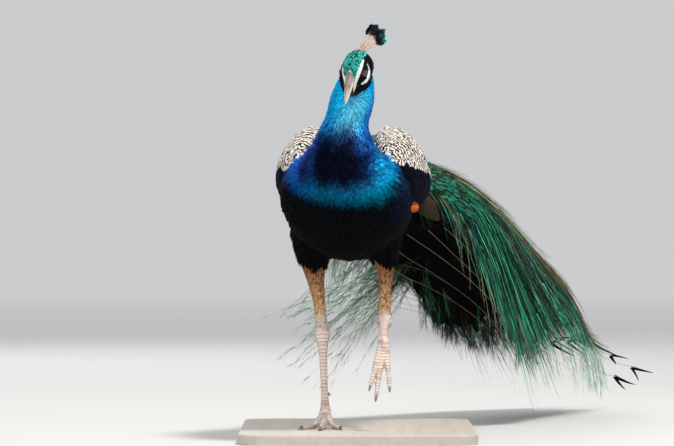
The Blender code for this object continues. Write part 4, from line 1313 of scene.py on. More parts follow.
def build_hem_wisps(name, side):
    """Thin plume ends that hang past the dense part of the train, each with short side barbs."""
    rng = np.random.default_rng(640 + side)
    right = side < 0
    n, k, m = (330, 10, 22) if right else (76, 10, 16)
    t = np.linspace(0, 1, k)
    if right:
        u0 = np.where(rng.random(n) < 0.58, rng.uniform(0.16, 0.44, n), rng.uniform(0.40, 0.76, n))
    else:
        u0 = rng.uniform(0.15, 0.80, n)
    v0 = side * (mass_limit(u0, np.full(n, side)) - rng.uniform(0.02, 0.16 + 0.14 * right * (u0 > 0.44), n))
    half = train_half(u0, v0)
    room = (1.06 + 0.10 * smooth(0.34 - u0, 0, 0.08) - np.abs(v0)) * half
    length = np.clip(room * rng.uniform(0.55, 1.15, n), 0.030, 0.16)
    # three kinds: on the far side near the body they hang back, inside the near hem they hang short
    back_way = right & (u0 < 0.46)
    inside = (u0 < 0.36) & (side > 0)
    length = np.where(back_way, rng.uniform(0.07, 0.29, n), length)
    length = np.where(inside, rng.uniform(0.05, 0.15, n), length)
    length = np.where(right & ~back_way, 0.7 * length, length)
    steep = rng.uniform(100, 108 + 48 * smooth(u0, 0.20, 0.34), n)
    gentle = np.where(inside, rng.uniform(55, 100, n), rng.uniform(48, 78, n))
    slope = np.radians(np.where(back_way, steep, gentle))
    du = length[:, None] * np.cos(slope)[:, None] * (t - 0.25 * t**2) / TRAIN_LONG
    dv = length[:, None] * np.sin(slope)[:, None] * t / half[:, None]
    bow = rng.normal(0, 0.08, (n, 1)) * length[:, None] * t**2
    u, v = u0[:, None] + du + bow / TRAIN_LONG, v0[:, None] + side * dv
    lines, normals = train_point(np.clip(u, 0.0, 1.2), v, rng.uniform(-0.004, 0.004, (n, 1)) - 0.0085 * right)
    drift = np.where(back_way, rng.uniform(0.1, 0.7, n) * length * smooth(u0, 0.19, 0.30), 0.0)
    drift = drift * smooth(0.265 - lines[:, -1, 2], 0.0, 0.06)
    lines[..., 0] -= drift[:, None] * t**1.3
    lines[..., 2] = np.maximum(lines[..., 2], WISP_FLOOR)
    along = unit(np.gradient(lines, axis=1))
    flat = unit(np.cross(normals, along))
    tone = mix(WISP, TRAIN_PALE_GREEN_AND_GLINT, rng.random(n)) * rng.uniform(0.45, 1.15, (n, 1))
    tone = mix(tone, EMERALD, 0.85 * (rng.random(n) < np.where(back_way, 0.30, 0.35)))
    # inside the far hem most wisps are black: partly their dull underside, partly painted shade inside the
    # train
    tone = mix(tone, UNDER_BLACK * 0.8, 0.97 * (~back_way & right & (rng.random(n) < 0.86)))
    deep = back_way & (u0 > 0.20)
    tone = mix(tone, SHAFT_PALE * 0.7, 0.7 * (deep & (rng.random(n) < 0.45)))
    tone = mix(tone, mix(SHAFT_PALE, TRAIN_BRONZE, 0.6 * rng.random(n)), 0.85 * inside)
    # side barbs off each hanging end
    at = rng.uniform(0.06, 0.97, (n, m))
    low = np.minimum((at * (k - 1)).astype(int), k - 2)
    part = (at * (k - 1) - low)[..., None]
    rows = np.arange(n)[:, None]
    foot = lines[rows, low] * (1 - part) + lines[rows, low + 1] * part
    outward = normals[rows, low]
    out_way = flat[rows, low] * rng.choice((-1.0, 1.0), (n, m, 1))
    lean = np.radians(rng.uniform(12, 30, (n, m, 1)))
    way = along[rows, low] * np.cos(lean) + out_way * np.sin(lean) + outward * rng.normal(0, 0.12, (n, m, 1))
    size = rng.uniform(0.016, 0.038, (n, m, 1)) * (1.1 - 0.6 * at[..., None])
    size = (size * np.where(inside, 0.3, 1.0)[:, None, None])[:, :, None]
    q = np.linspace(0, 1, 4)
    share = q[:, None]
    barbs = foot[:, :, None] + way[:, :, None] * (size * share) - (0, 0, 1) * (0.15 * size * share**2)
    barbs[..., 2] = np.maximum(barbs[..., 2], WISP_FLOOR)
    barb_side = np.broadcast_to(unit(np.cross(way, outward))[:, :, None], barbs.shape)
    widths = 0.00062 * (1 - 0.7 * t)[None] * rng.uniform(0.7, 1.2, (n, 1))
    thin = np.broadcast_to(0.00050 * (1 - 0.7 * q), (n * m, len(q)))
    verts, faces = strips(lines, widths, flat)
    barb_verts, barb_faces = strips(barbs.reshape(n * m, -1, 3), thin, barb_side.reshape(n * m, -1, 3))
    # deep wisps and their side barbs are black near their roots: partly the dull underside, partly painted
    # shade inside the train
    rooted = (1 - smooth(t, 0.22, 0.50)) * deep[:, None]
    colours = both_edges(mix(tone[:, None], UNDER_BLACK, 0.95 * rooted))
    own = np.repeat(tone, m, axis=0)
    own = mix(own, EMERALD * 1.1, 0.7 * ((rng.random(n * m) < 0.3) & np.repeat(back_way | (side > 0), m)))
    own = mix(own, UNDER_BLACK, 0.95 * ((1 - smooth(at, 0.15, 0.45)) * deep[:, None]).reshape(-1))
    own = own * rng.uniform(0.6, 1.3, (n * m, 1))
    spots = train_unwrap(u0, v0)
    bake = np.concatenate([strip_bake(spots, t), strip_bake(np.repeat(spots, m, axis=0), q)])
    colours = np.concatenate([colours, np.repeat(own, 2 * len(q), axis=0)])
    faces = np.concatenate([faces, barb_faces + len(verts)])
    verts = np.concatenate([verts, barb_verts])
    build_piece(name, verts, faces, colours, "train", bake, np.zeros((len(verts), 2)))


# root and end (u, v, u, v) of the quills that show most
INNER_QUILLS = (
    (0.10, -0.40, 0.72, -0.52), (0.10, -0.46, 0.70, -0.66), (0.12, -0.18, 0.60, -0.40),
    (0.12, -0.14, 0.66, -0.26), (0.20, -0.60, 0.66, -0.76), (0.14, 0.10, 0.70, -0.08),
)


def build_inner_quills():
    """Pale quills and a few stray barbs that show against the dark inside of the train."""
    rng = np.random.default_rng(606)
    strays = 9
    t = np.linspace(0, 1, 18)[None]
    v0 = rng.uniform(-0.75, 0.85, strays)
    u0 = rng.uniform(0.18, 0.45, strays)
    drift = rng.normal(0, 0.16, strays)
    stray = np.stack([u0, v0, u0 + rng.uniform(0.06, 0.22, strays), v0 + drift], axis=1)
    ends = np.concatenate([np.array(INNER_QUILLS), stray])
    n = len(ends)
    strong = np.arange(n) < len(INNER_QUILLS)
    bow = np.where(strong, 0.02, 0.12)[:, None] * rng.normal(0, 1, (n, 1)) * np.sin(t * np.pi)
    u = ends[:, :1] + (ends[:, 2:3] - ends[:, :1]) * t
    v = ends[:, 1:2] + (ends[:, 3:4] - ends[:, 1:2]) * t + bow
    lines, normals = train_point(u, np.clip(v, -0.98, 0.98), -0.0115 - 0.002 * rng.random((n, 1)))
    along = unit(np.gradient(lines, axis=1))
    side = unit(np.cross(normals, along))
    widths = (1 - 0.6 * t) * np.where(strong, 0.00085, 0.00045)[:, None]
    shade = np.where(strong, 1.0, rng.uniform(0.4, 1.1, n))[:, None] * srgb(172, 162, 152)
    # two ribbons crosswise, so that each quill shows from every side
    twice = [np.concatenate([a, a]) for a in (lines, widths, shade, train_unwrap(u[:, 0], v[:, 0]))]
    verts, faces = strips(*twice[:2], np.concatenate([side, unit(np.cross(side, along))]))
    build_piece("train_inner_quills", verts, faces, np.repeat(twice[2], 2 * t.size, axis=0), "shaft",
                strip_bake(twice[3], t))


# colour of an eye at distances from its centre
OCELLUS = (
    (0.00, (14, 10, 48)), (0.24, (16, 14, 70)), (0.30, (0, 108, 150)), (0.44, (10, 150, 150)),
    (0.50, (132, 74, 26)), (0.66, (150, 96, 34)), (0.72, (184, 160, 60)), (0.80, (30, 120, 60)),
    (0.88, (150, 120, 44)), (1.00, (40, 96, 52)), (1.3, (30, 80, 46)),
)


def build_ocelli(name, end, reach, lift, lobe):
    """The eye of each plume: a rounded disc of fused barbs in rings of colour."""
    n = len(end)
    rng = np.random.default_rng(300 + lobe)
    rings, around = 9, 22
    r = np.linspace(0, 1, rings + 1)[1:]
    R, A = np.meshgrid(r, np.linspace(0, 2 * np.pi, around, endpoint=False), indexing="ij")
    long_half = 0.0225 * rng.uniform(0.85, 1.1, (n, 1, 1))
    x = R * np.cos(A)
    y = R * np.sin(A)
    along = long_half * (x + 0.10 * (1 - np.abs(y)) * (x > 0.6))
    across = long_half * 0.80 * y
    sway = rng.normal(0, 0.12, (n, 1, 1))
    u = reach[:, None, None] + (along + sway * across) / TRAIN_LONG
    v = end[:, None, None] + across / np.maximum(train_half(reach, end), 0.06)[:, None, None]
    lift = lift + 0.0034
    place, _ = train_point(u, v, lift[:, None, None] + 0.0016 * (1 - R**2))
    middle, _ = train_point(reach, end, lift + 0.0018)
    index = 1 + np.arange(R.size).reshape(R.shape)
    fan = np.stack([np.zeros(around, int), index[0], np.roll(index[0], -1)], axis=-1)
    faces = [repeated(f, 1 + R.size, n) for f in (ring_faces(index), fan)]
    # rings of colour, measured from a centre moved towards the tip
    value = np.sqrt((x - 0.14) ** 2 + y**2) + 0.10 * np.exp(-((A - np.pi) ** 2) / 0.10)
    marks = [mark for mark, _ in OCELLUS]
    shades = np.array([srgb(*shade) for _, shade in OCELLUS])
    ring = np.stack([np.interp(np.clip(value, 0, 1.3), marks, c) for c in shades.T], axis=-1)
    colours = np.concatenate([shades[:1], ring.reshape(-1, 3)]) * rng.uniform(0.85, 1.15, (n, 1, 1))
    patch = np.concatenate([[(0.5, 0.5)], np.stack([x, y], -1).reshape(-1, 2) / 2 + 0.5]) * BAKE_PATCH
    vane = np.concatenate([np.zeros((n, 1, 2)), np.stack([along, across], -1).reshape(n, -1, 2)], axis=1)
    verts = np.concatenate([middle[:, None], place.reshape(n, -1, 3)], axis=1)
    bake = train_unwrap(reach, end)[:, None] + patch
    build_piece(name, verts, faces, colours, "ocellus", bake, vane)


def build_fishtails(end, reach, lift):
    """The longest plumes end in a black fork: a long prong on along the plume, a shorter one to its side."""
    rng = np.random.default_rng(41)
    n = len(end)
    t = np.linspace(0, 1, 8)
    lines, sides, widths = [], [], []
    half = np.maximum(train_half(reach, end), 0.05)
    # length, how far it opens in degrees, side, bend, half width at its root
    prongs = ((0.080, (3, 10), -1, 1.0, 0.0034), (0.034, (42, 66), 1, 0.9, 0.0030))
    for clear, (long, opening, side, bend, base) in zip(np.array(CLEAR_PRONGS), prongs):
        length = long * rng.uniform(0.85, 1.15, n)
        open_by = np.radians(rng.uniform(*opening, n))
        du = length * np.cos(open_by) / TRAIN_LONG
        dv = side * length * np.sin(open_by) / half
        known = len(clear)
        du[:known] = clear[:, 0] - reach[:known]
        dv[:known] = clear[:, 1] - end[:known]
        u = reach[:, None] - 0.004 + du[:, None] * t[None]
        v = end[:, None] + dv[:, None] * t[None] ** bend
        place, normal = train_point(u, v, lift[:, None] + 0.004)
        place[..., 2] = np.maximum(place[..., 2], 0.008)
        along = unit(np.gradient(place, axis=1))
        lines.append(place)
        sides.append(unit(np.cross(np.array((0, -1.0, 0)) + 0.4 * normal, along)))
        widths.append(base * (1 - t) ** 0.75 * rng.uniform(0.85, 1.1, (n, 1)) + 0.0003)
    lines, sides, widths = (np.concatenate(v) for v in (lines, sides, widths))
    colours = np.broadcast_to(srgb(6, 7, 9), lines.shape)
    build_strips("train_fishtails", lines, widths, sides, colours, "soft",
                 np.tile(train_unwrap(reach, end), (2, 1)), t, np.full(2 * n, 0.06))


def left_half(u):
    """Metres across the train from its ridge to the left hem, at one u."""
    return float(train_half(np.array([u]), np.array([0.1]))[0])


def build_train_scales():
    """Rows of rounded scale feathers where the train leaves the back."""
    rng = np.random.default_rng(61)
    long = 0.185
    roots = []
    for row, u in enumerate(np.linspace(0.0, long, 33)):
        limit = 0.84 - 0.15 * u / long
        count = max(4, int(2 * left_half(u) * limit / (0.0062 + 0.003 * u / long)))
        v = (np.arange(count) + 0.5 * (row % 2) + 0.25) / count * 2 - 1
        roots += [(u, w * limit) for w in v]
    u0, v0 = np.array(roots).T
    n = len(u0)
    u0 = u0 + rng.uniform(-0.003, 0.003, n)
    T, C, H = vane_grid(ROUND_SHAPE, np.linspace(-1, 1, 5))
    back = (u0 / long)[:, None, None]
    length = (0.0150 + 0.030 * back) * rng.uniform(0.8, 1.3, (n, 1, 1))
    width = (0.0092 - 0.0015 * back) * rng.uniform(0.8, 1.2, (n, 1, 1))
    along = (T - 0.06 * C**2 * (T > 0.6)) * length
    across = C * H * width / 2
    half = np.maximum(train_half(u0, v0), 0.04)
    v0 = v0 + rng.uniform(-0.002, 0.002, n) / half
    u = u0[:, None, None] + along / TRAIN_LONG
    v = v0[:, None, None] + across / half[:, None, None]
    lift = 0.0062 + 0.0030 * T + 0.0022 * (H * (1 - C**2)) - 0.0085 * back * (1 - T)
    verts, _ = train_point(u, v, np.maximum(lift, 0.0015))
    reach = np.sqrt(((T - 0.5) / 0.5) ** 2 + (0.85 * C) ** 2)
    core = mix(EMERALD * 1.2, TEAL, rng.random(n) * 0.7)
    core = mix(core, TRAIN_PALE_GREEN_AND_GLINT, 0.5 * (rng.random(n) < 0.14))
    core = mix(core, UNDER_BLACK, 0.85 * (rng.random(n) < 0.30))[:, None, None]
    gold = bell(reach, 0.58, 0.18) * (0.25 + 0.75 * bell(v0, 0.05, 0.35))[:, None, None]
    colours = mix(mix(core, MANTLE_GOLD * 1.1, gold), UNDER_BLACK, smooth(reach, 0.86, 1.0))
    colours = colours * rng.uniform(0.8, 1.2, (n, 1, 1, 1))
    spots = train_unwrap(u0, v0)
    build_vanes("train_scales", verts, colours, "shine", T, C, spots, along, across)


def build_underdown():
    """The dark inner side of the train: broad overlapping vanes of down under the barbs, brown-black partly
    for the down's own dull colour and partly as painted shade inside the drape.
    """
    rng = np.random.default_rng(71)
    u0, v0 = [], []
    for row, u in enumerate(np.linspace(0.02, 0.70, 38)):
        limit = 0.86 - 0.25 * max(0.0, u - 0.6)
        count = max(4, int(2 * left_half(u) * limit / 0.019))
        v = ((np.arange(count) + 0.5 * (row % 2)) / count * 2 - 1) * limit
        far = np.abs(v) + 0.022 / np.maximum(train_half(np.full(len(v), u), v), 0.04)
        v = v[far < mass_limit(np.full(len(v), u + 0.045), v) - 0.05]
        u0 += [u] * len(v)
        v0 += v.tolist()
    n = len(u0)
    u0, v0 = np.array(u0) + rng.uniform(-0.005, 0.005, n), np.array(v0)
    T, C, H = vane_grid(DOWN_SHAPE, np.linspace(-1, 1, 3))
    along = T * rng.uniform(0.050, 0.072, (n, 1, 1))
    across = C * H * 0.015
    half = np.maximum(train_half(u0, v0), 0.04)[:, None, None]
    u = u0[:, None, None] + along / TRAIN_LONG
    v = v0[:, None, None] + (across + np.sign(v0)[:, None, None] * 0.35 * along) / half
    verts, _ = train_point(u, v, -0.0055 - 0.0016 * T + rng.uniform(-0.0008, 0.0008, (n, 1, 1)))
    # near black: the down's own dull colour deepened by painted shade
    colours = np.broadcast_to(UNDER_BLACK * rng.uniform(0.6, 2.0, (n, 1, 1, 1)), (n, *T.shape, 3))
    spots = train_unwrap(u0, v0)
    build_vanes("train_underdown", verts, colours, "soft", T, C, spots, along, across)


# ---- tail and flight feathers ----
BLADE_ACROSS = (-1.0, -0.86, -0.5, -0.08, -0.035, 0.035, 0.08, 0.5, 0.86, 1.0)


def build_blades(name, roots, tips, droop, half_width, ups, tone, seed, bars=0.0, front=0.0,
                 bulge=0.0, pale=0.0):
    """Long stiff feathers from roots to tips, each a bowed vane with a pale shaft line and a pale edge.
    bars darkens stripes across them, front is the chestnut share at the root, bulge bows each its own way."""
    rng = np.random.default_rng(seed)
    roots, tips, ups = (np.asarray(v, float) for v in (roots, tips, ups))
    n = len(roots)
    t = np.linspace(0, 1, 15)
    rounded = np.sqrt(np.clip(1 - np.clip((t - 0.80) / 0.20, 0, 1) ** 2, 0.01, 1))
    profile = np.minimum(1, 0.35 + 2.2 * t) * rounded
    T, C, H = vane_grid(np.stack([t, profile], axis=1), BLADE_ACROSS)
    arch = np.sin(np.pi * t)[:, None]
    line = roots[:, None] + (tips - roots)[:, None] * t[:, None]
    line = line + ups[:, None] * (droop * arch) + np.broadcast_to(bulge, (n, 3))[:, None] * arch
    along = unit(np.gradient(line, axis=1))
    side = unit(np.cross(np.broadcast_to(ups[:, None], along.shape), along))
    lift = unit(np.cross(along, side))
    across = np.broadcast_to(C * H * half_width, (n, *T.shape))
    verts = line[:, :, None] + side[:, :, None] * across[..., None]
    verts = verts + lift[:, :, None] * (0.22 * half_width * (H * (1 - C**2)))[..., None]
    own = np.broadcast_to(tone, (n, 3))[:, None, None] * rng.uniform(0.8, 1.2, (n, 1, 1, 1))
    own = np.where((T < front)[..., None], CHESTNUT, own)
    pale = np.broadcast_to(pale, n)[:, None, None]
    stripe = (1 - bars * (np.sin(T * 70 + 2 * C) > 0.35)) * (1 + 0.5 * pale * np.sin(C * 9 + 1))
    shaft = (np.abs(C) < 0.05)[..., None]
    colours = np.where(shaft, own * 1.8 + 0.03, own * stripe[..., None] * (1 - 0.25 * np.abs(C))[..., None])
    colours = mix(colours, SHAFT_PALE * 0.5, pale * ((np.abs(C) > 0.9) | (T > 0.97)))
    spots = np.stack([np.full(n, 0.1), (np.arange(n) + 0.5) / n], axis=1)
    size = np.linalg.norm(tips - roots, axis=1)[:, None, None]
    return build_vanes(name, verts, colours, "soft", T, C, spots, T * size, across)


# of each wing's primaries: side, front end and rear end of the row (y, x, z), height in front, and the
# root of the chestnut tuft over them with its shade
PRIMARIES = {
    "left": (1, (0.010, 0.097, 0.384), (0.245, 0.130, 0.366), 0.030, (-0.040, 0.1025, 0.3775), 0.85),
    "right": (-1, (0.020, 0.114, 0.372), (0.285, 0.078, 0.354), 0.024, (0.006, 0.1085, 0.3700), 0.40),
}


def build_flight_feathers():
    """The primaries that show below each wing with the tuft over their root, and the fan of the true tail."""
    for tag, (sign, (y0, x0, z0), (y1, x1, z1), tall, (y2, x2, z2), tuft_shade) in PRIMARIES.items():
        count = 11
        share = np.linspace(0, 1, count)
        drop = tall * (0.5 - share)
        even = 0 * share
        roots = np.stack([sign * (x0 + 0.001 + 0.002 * share), y0 - 0.004 + even, z0 + 0.22 * drop], axis=1)
        tips = np.stack([sign * (x1 - 0.007 + 0.003 * share), y1 - 0.022 * share, z1 + 0.5 * drop], axis=1)
        bulge = np.stack([even, even, 0.55 * drop], axis=1)
        tones = mix(BRONZE_BROWN * 0.62, BRONZE_BROWN * 0.36, share)
        pale = [0.45] + [0.06] * (count - 2) + [0.3]
        primaries = build_blades(
            f"wing_{tag}_flight_feathers", from_bird(roots), from_bird(tips), 0.0065, 0.0052,
            [BODY_TURN @ (sign * 0.97, 0.0, 0.25)] * count, tones, 80 + sign, front=0.09,
            bulge=bulge, pale=pale)
        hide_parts(f"wing_{tag}_primaries")
        # a round tuft of chestnut coverts
        count = 13
        w = np.linspace(-1, 1, count)
        heap = np.sqrt(1 - 0.9 * w**2)
        roots = np.stack([sign * (x2 + 0 * w), y2 - 0.004 * heap, z2 + 0.0020 * w], axis=1)
        tips = np.stack([sign * (x2 + 0.004 + 0.010 * heap), y2 + 0.030 + 0 * w, z2 + 0.0062 * w], axis=1)
        swell = (BODY_TURN @ np.stack([sign * 0.0030 * heap, 0 * w, 0.0006 * w])).T
        build_blades(
            f"wing_{tag}_chestnut_tuft", from_bird(roots), from_bird(tips), 0.0, 0.0042,
            [BODY_TURN @ (sign * 0.97, -0.2, 0.1)] * count, CHESTNUT * tuft_shade,
            83 + sign, bulge=swell)
    roots, tips = [], []
    count = 19
    for k in range(count):
        v = 2 * k / (count - 1) - 1
        row0, row1 = catmull(TRAIN_SPINE, (0.035, 0.39 - 0.03 * v * v))
        along = unit(row1[:3] - row0[:3])
        left = unit(np.array((along[1], -along[0], 0.0)))
        for row, sink, half, out in ((row0, 0.033, 0.020, roots), (row1, 0.060, 0.088, tips)):
            place = row[:3] + (0, 0, BASE_THICK) + left * half * v - (0, 0, sink + 0.35 * half * v * v)
            out.append(place + (0, 0, 0.0012 * (k % 2)))
    tail = build_blades("tail_feathers", roots, tips, -0.004, 0.0155, [(0.0, 0.0, 1.0)] * count,
                        UNDER_BLACK * 1.6, 90, bars=0.2)
    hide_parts("tail")


# ---- bill, eyes, crest and scutes ----
def build_bill():
    """Two horny halves that hook down, with nostrils over the root and a crisp edge."""
    steps, around = 34, 17
    for name, half_width, depth, sign, reach in (
        ("bill_upper", 0.0100, 0.0104, 1, 0.985),
        ("bill_lower", 0.0098, 0.0056, -1, 0.90),
    ):
        upper = sign > 0
        T, A = np.meshgrid(np.linspace(0, 1, steps) * reach, np.linspace(0, np.pi, around), indexing="ij")
        taper = (1 - T) ** 0.62 + 0.02
        middle = BILL_RISE - BILL_HOOK * (0.5 * T + 0.5 * T * T)
        across = half_width * taper * np.cos(A)
        swell = 1 + 0.05 * bell(T, 0.42, 0.08) * upper
        nostril = bell(T, 0.50, 0.045) * bell(np.abs(np.cos(A)), 0.62, 0.16) * upper
        out = depth * taper * swell * np.sin(A) - 0.0011 * nostril + 0.00015
        points = np.stack([BILL_START + BILL_LENGTH * T, across, middle + sign * out], axis=-1)
        flat = points.copy()
        flat[..., 2] = middle + sign * 0.00012
        verts = from_head(np.concatenate([points.reshape(-1, 3), flat[:, 1:-1].reshape(-1, 3)]))
        # the rings close across the flat side; they stay open only inside the head
        index = np.arange(T.size).reshape(T.shape)
        inner = np.arange(steps * (around - 2)).reshape(steps, around - 2) + T.size
        closed = np.concatenate([index, inner[:, ::-1]], axis=1)
        tone = mix(srgb(156, 134, 128), srgb(216, 198, 188), smooth(T, 0.45, 0.95))
        tone = mix(tone, srgb(104, 88, 88), 0.7 * bell(A, np.pi / 2, 0.30) * (1 - 0.8 * T))
        # painted highlight: pale along both cutting edges
        tone = mix(tone, srgb(236, 230, 222), 0.85 * smooth(np.abs(np.cos(A)), 0.80, 0.95))
        tone = tone * (1 - 0.65 * nostril)[..., None]
        colours = np.concatenate([tone.reshape(-1, 3), np.repeat(srgb(146, 120, 112)[None], inner.size, 0)])
        bake = np.stack([T, A / np.pi], -1)
        bake = np.concatenate([bake.reshape(-1, 2), bake[:, 1:-1].reshape(-1, 2)]) * 0.9 + 0.05
        faces = [ring_faces(closed), closed[-1:]]
        horn = build_piece(name + "_horn", verts, faces, colours, "bill", bake)
        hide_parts(name)


def sphere_places(radius, look, side, up, A, B):
    """Offsets from an eye's centre at angle A off its look and turned by B round it."""
    ring = np.cos(B)[..., None] * side + np.sin(B)[..., None] * up
    return (np.cos(A) * radius)[..., None] * look + (np.sin(A) * radius)[..., None] * ring


def build_eyes():
    """Glossy eyeballs with iris and pupil, each inside a ring of bare lid."""
    for tag, sign in (("left", 1), ("right", -1)):
        centre = from_head([(EYE_PLACE[0], sign * EYE_PLACE[1], EYE_PLACE[2])])[0]
        look = HEAD_AXES.T @ unit(np.array((0.30, sign * 0.95, 0.05)))
        side = unit(np.cross(HEAD_AXES[2], look))
        up = np.cross(look, side)
        rings, around = 30, 40
        a = np.linspace(0, np.pi, rings)[1:-1]
        A, B = np.meshgrid(a, np.linspace(0, 2 * np.pi, around, endpoint=False), indexing="ij")
        shape = sphere_places(1 + 0.06 * bell(A, 0.0, 0.55), look, side, up, A, B).reshape(-1, 3)
        ends = (centre + look * EYE_RADIUS * 1.06, centre - look * EYE_RADIUS)
        verts = np.concatenate([ends[:1], centre + shape * EYE_RADIUS * 0.995, ends[1:]])
        index = 1 + np.arange(A.size).reshape(A.shape)
        after = np.roll(index, -1, axis=1)
        caps = np.concatenate([
            np.stack([np.zeros(around, int), index[0], after[0]], -1),
            np.stack([np.full(around, A.size + 1), after[-1], index[-1]], -1),
        ])
        angle = np.concatenate([[0], A.ravel(), [np.pi]])
        spin = np.concatenate([[0], B.ravel(), [0]])
        streak = 1 + 0.25 * np.sin(spin * 19) * np.sin(spin * 7 + 1)
        colours = mix(srgb(7, 6, 6), srgb(74, 42, 22) * streak[:, None], smooth(angle, 0.40, 0.46))
        colours = mix(colours, srgb(20, 14, 12), smooth(angle, 0.74, 0.86))
        bake = np.stack([0.05 + 0.9 * spin / 6.2832, 0.05 + 0.9 * angle / np.pi], axis=1)
        quads = ring_faces(index)[:, (0, 3, 2, 1)]
        eye = build_piece(f"eyeball_{tag}", verts, [quads, caps], colours, "eye", bake)
        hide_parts(f"eye_{tag}")
        build_lids(tag, centre, look, side, up)


def build_lids(tag, centre, look, side, up):
    """Two soft folds of grey-white skin that close round the eyeball, with a fine beaded edge."""
    around, across = 56, 8
    b = np.linspace(0, 2 * np.pi, around, endpoint=False)
    B, E = np.meshgrid(b, np.linspace(0, 1, across), indexing="ij")
    # the opening: round, drawn out a little towards both corners
    A = 0.86 + 0.14 * np.abs(np.cos(B)) ** 3 - 0.05 * np.sin(B) + E * 0.50
    thick = 0.0003 + 0.0010 * np.sin(np.pi * E**0.7) + 0.00012 * np.sin(B * 28) * (1 - E)
    outer = sphere_places(EYE_RADIUS + thick, look, side, up, A, B)
    inner = sphere_places(EYE_RADIUS - 0.0005, look, side, up, A[:, :1], B[:, :1])
    verts = centre + np.concatenate([inner, outer], axis=1)
    n = across + 1
    index = np.arange(around * n).reshape(around, n)
    after = np.roll(index, -1, axis=0)
    quads = np.stack([index[:, :-1], after[:, :-1], after[:, 1:], index[:, 1:]], axis=-1).reshape(-1, 4)
    tone = np.broadcast_to(srgb(64, 60, 62), (around, n, 3)).copy()
    tone[:, :2] = srgb(26, 24, 24)
    bake = np.meshgrid(np.linspace(0.05, 0.95, around), np.linspace(0.05, 0.95, n), indexing="ij")
    build_piece(f"eyelids_{tag}", verts, quads, tone, "lid", np.stack(bake, axis=-1))


# roots of the crest's outermost shafts on the head: forward, aside, towards the crown
CREST_FIRST = np.array((-0.0225, -0.0052, 0.0170))
CREST_LAST = np.array((-0.0340, 0.0060, 0.0095))


def build_crest():
    """A fan of bare buff-pink shafts, each with a leaf of blue-green black barbs at its tip."""
    rng = np.random.default_rng(33)
    count = 22
    middle = from_head([CREST_ROOT])[0]
    front, rear = unit(CREST_FRONT), unit(CREST_REAR)
    across = unit(np.cross(front, rear))
    angle = math.acos(float(front @ rear))
    lines, sides, tips = [], [], []
    t = np.linspace(0, 1, 9)
    for k in range(count):
        share = k / (count - 1)
        way = (math.sin((1 - share) * angle) * front + math.sin(share * angle) * rear) / math.sin(angle)
        way = unit(way + across * rng.normal(0, 0.07))
        length = CREST_LENGTH * (0.97 - 0.10 * abs(2 * share - 1)) * (0.89 + 0.11 * ((k * 7) % 5) / 4)
        tip = middle + way * length
        root = from_head(CREST_FIRST + (CREST_LAST - CREST_FIRST) * share) + across * rng.normal(0, 0.0012)
        way = unit(tip - root)
        bend = across * rng.normal(0, 0.0018)
        line = root + (tip - root) * t[:, None] + bend * (t**2)[:, None]
        side = unit(np.cross(way, across) + 0.35 * rng.normal() * across)
        # two ribbons crosswise
        lines += [line, line]
        sides += [np.broadcast_to(flat, line.shape) for flat in (side, unit(np.cross(way, side)))]
        tips.append((tip, way, side, share))
    n = len(lines)
    widths = np.broadcast_to(0.00048 - 0.00020 * t, (n, len(t)))
    shade = mix(srgb(222, 192, 168), CREST_BLACK, smooth(t, 0.72, 0.86))
    spots = np.stack([np.full(n, 0.1), (np.arange(n) + 0.5) / n], axis=1)
    shafts = build_strips("crest_shafts", np.array(lines), widths, np.array(sides),
                          np.broadcast_to(shade, (n, *shade.shape)), "soft", spots, t)
    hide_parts("crest")
    # leaves: short barbs that close to a rounded tip
    lines, sides, shades, spots = [], [], [], []
    t = np.linspace(0, 1, 4)
    for k, (tip, way, side, share) in enumerate(tips):
        for j in range(56):
            at = (j // 2 + rng.random()) / 28
            sign = 1 if j % 2 else -1
            start = tip - way * 0.0118 * (1 - at)
            opened = math.radians(58) * (1 - at) + math.radians(4)
            out = unit(way * math.cos(opened) + side * sign * math.sin(opened) + across * rng.normal(0, 0.20))
            size = 0.0058 * (0.50 + 0.62 * math.sin(math.pi * (0.15 + 0.70 * at))) * rng.uniform(0.85, 1.1)
            lines.append(start + out * (size * t)[:, None] + way * (0.45 * size * t**2)[:, None])
            flat = unit(np.cross(out, across) + across * rng.normal(0, 0.5))
            sides.append(np.broadcast_to(flat, (len(t), 3)))
            outer = smooth(share, 0.25, 0.85) * smooth(at, 0.35, 0.8)
            teal = CREST_TEAL * rng.uniform(0.8, 2.4)
            shades.append(mix(CREST_BLACK, teal, outer * rng.uniform(0.3, 1) * t))
            spots.append((0.2 + 0.6 * (k + 0.5) / count, 0.1 + 0.8 * at))
    widths = np.broadcast_to(0.00068 * (1 - 0.6 * t) + 0.00006, (len(lines), len(t)))
    lines, sides, shades, spots = (np.array(v) for v in (lines, sides, shades, spots))
    build_strips("crest_tufts", lines, widths, sides, shades, "crown", spots, t)


# radius at shares of the way down the tarsus
TARSUS_RADII = ((0.0, 0.06, 0.14, 0.30, 0.70, 0.88, 1.0),
                (0.0130, 0.0140, 0.0098, 0.0068, 0.0058, 0.0066, 0.0092))
# each toe: spread and hang in degrees, length, half thickness at its root, place aside
TOE_SHAPES = ((23, 14, 0.072, 0.0060, 0.0045), (0, 8, 0.087, 0.0066, 0.0), (-23, -4, 0.072, 0.0060, -0.0045))
TOE_GROUND = BASE_THICK + 0.0003


def toe_line(left, spread_by, hang, length, root, aside, foot, t):
    """Middle line of a toe, as the solid has it."""
    inward = -1 if left else 1
    start = foot + np.array((aside * inward, 0, 0))
    if left:
        a = math.radians(hang) * inward
        return start + unit(np.array((math.sin(a), -0.08, -math.cos(a)))) * length * t[:, None]
    a = math.radians(spread_by) * inward + math.radians(-6)
    line = start + np.array((math.sin(a), -math.cos(a), 0)) * length * t[:, None]
    radius = root * (1 - 0.42 * t)
    fall = np.sin(np.minimum(1, 2.2 * t) * np.pi / 2)
    line[:, 2] = start[2] + (TOE_GROUND + 0.86 * radius - start[2]) * fall
    return line


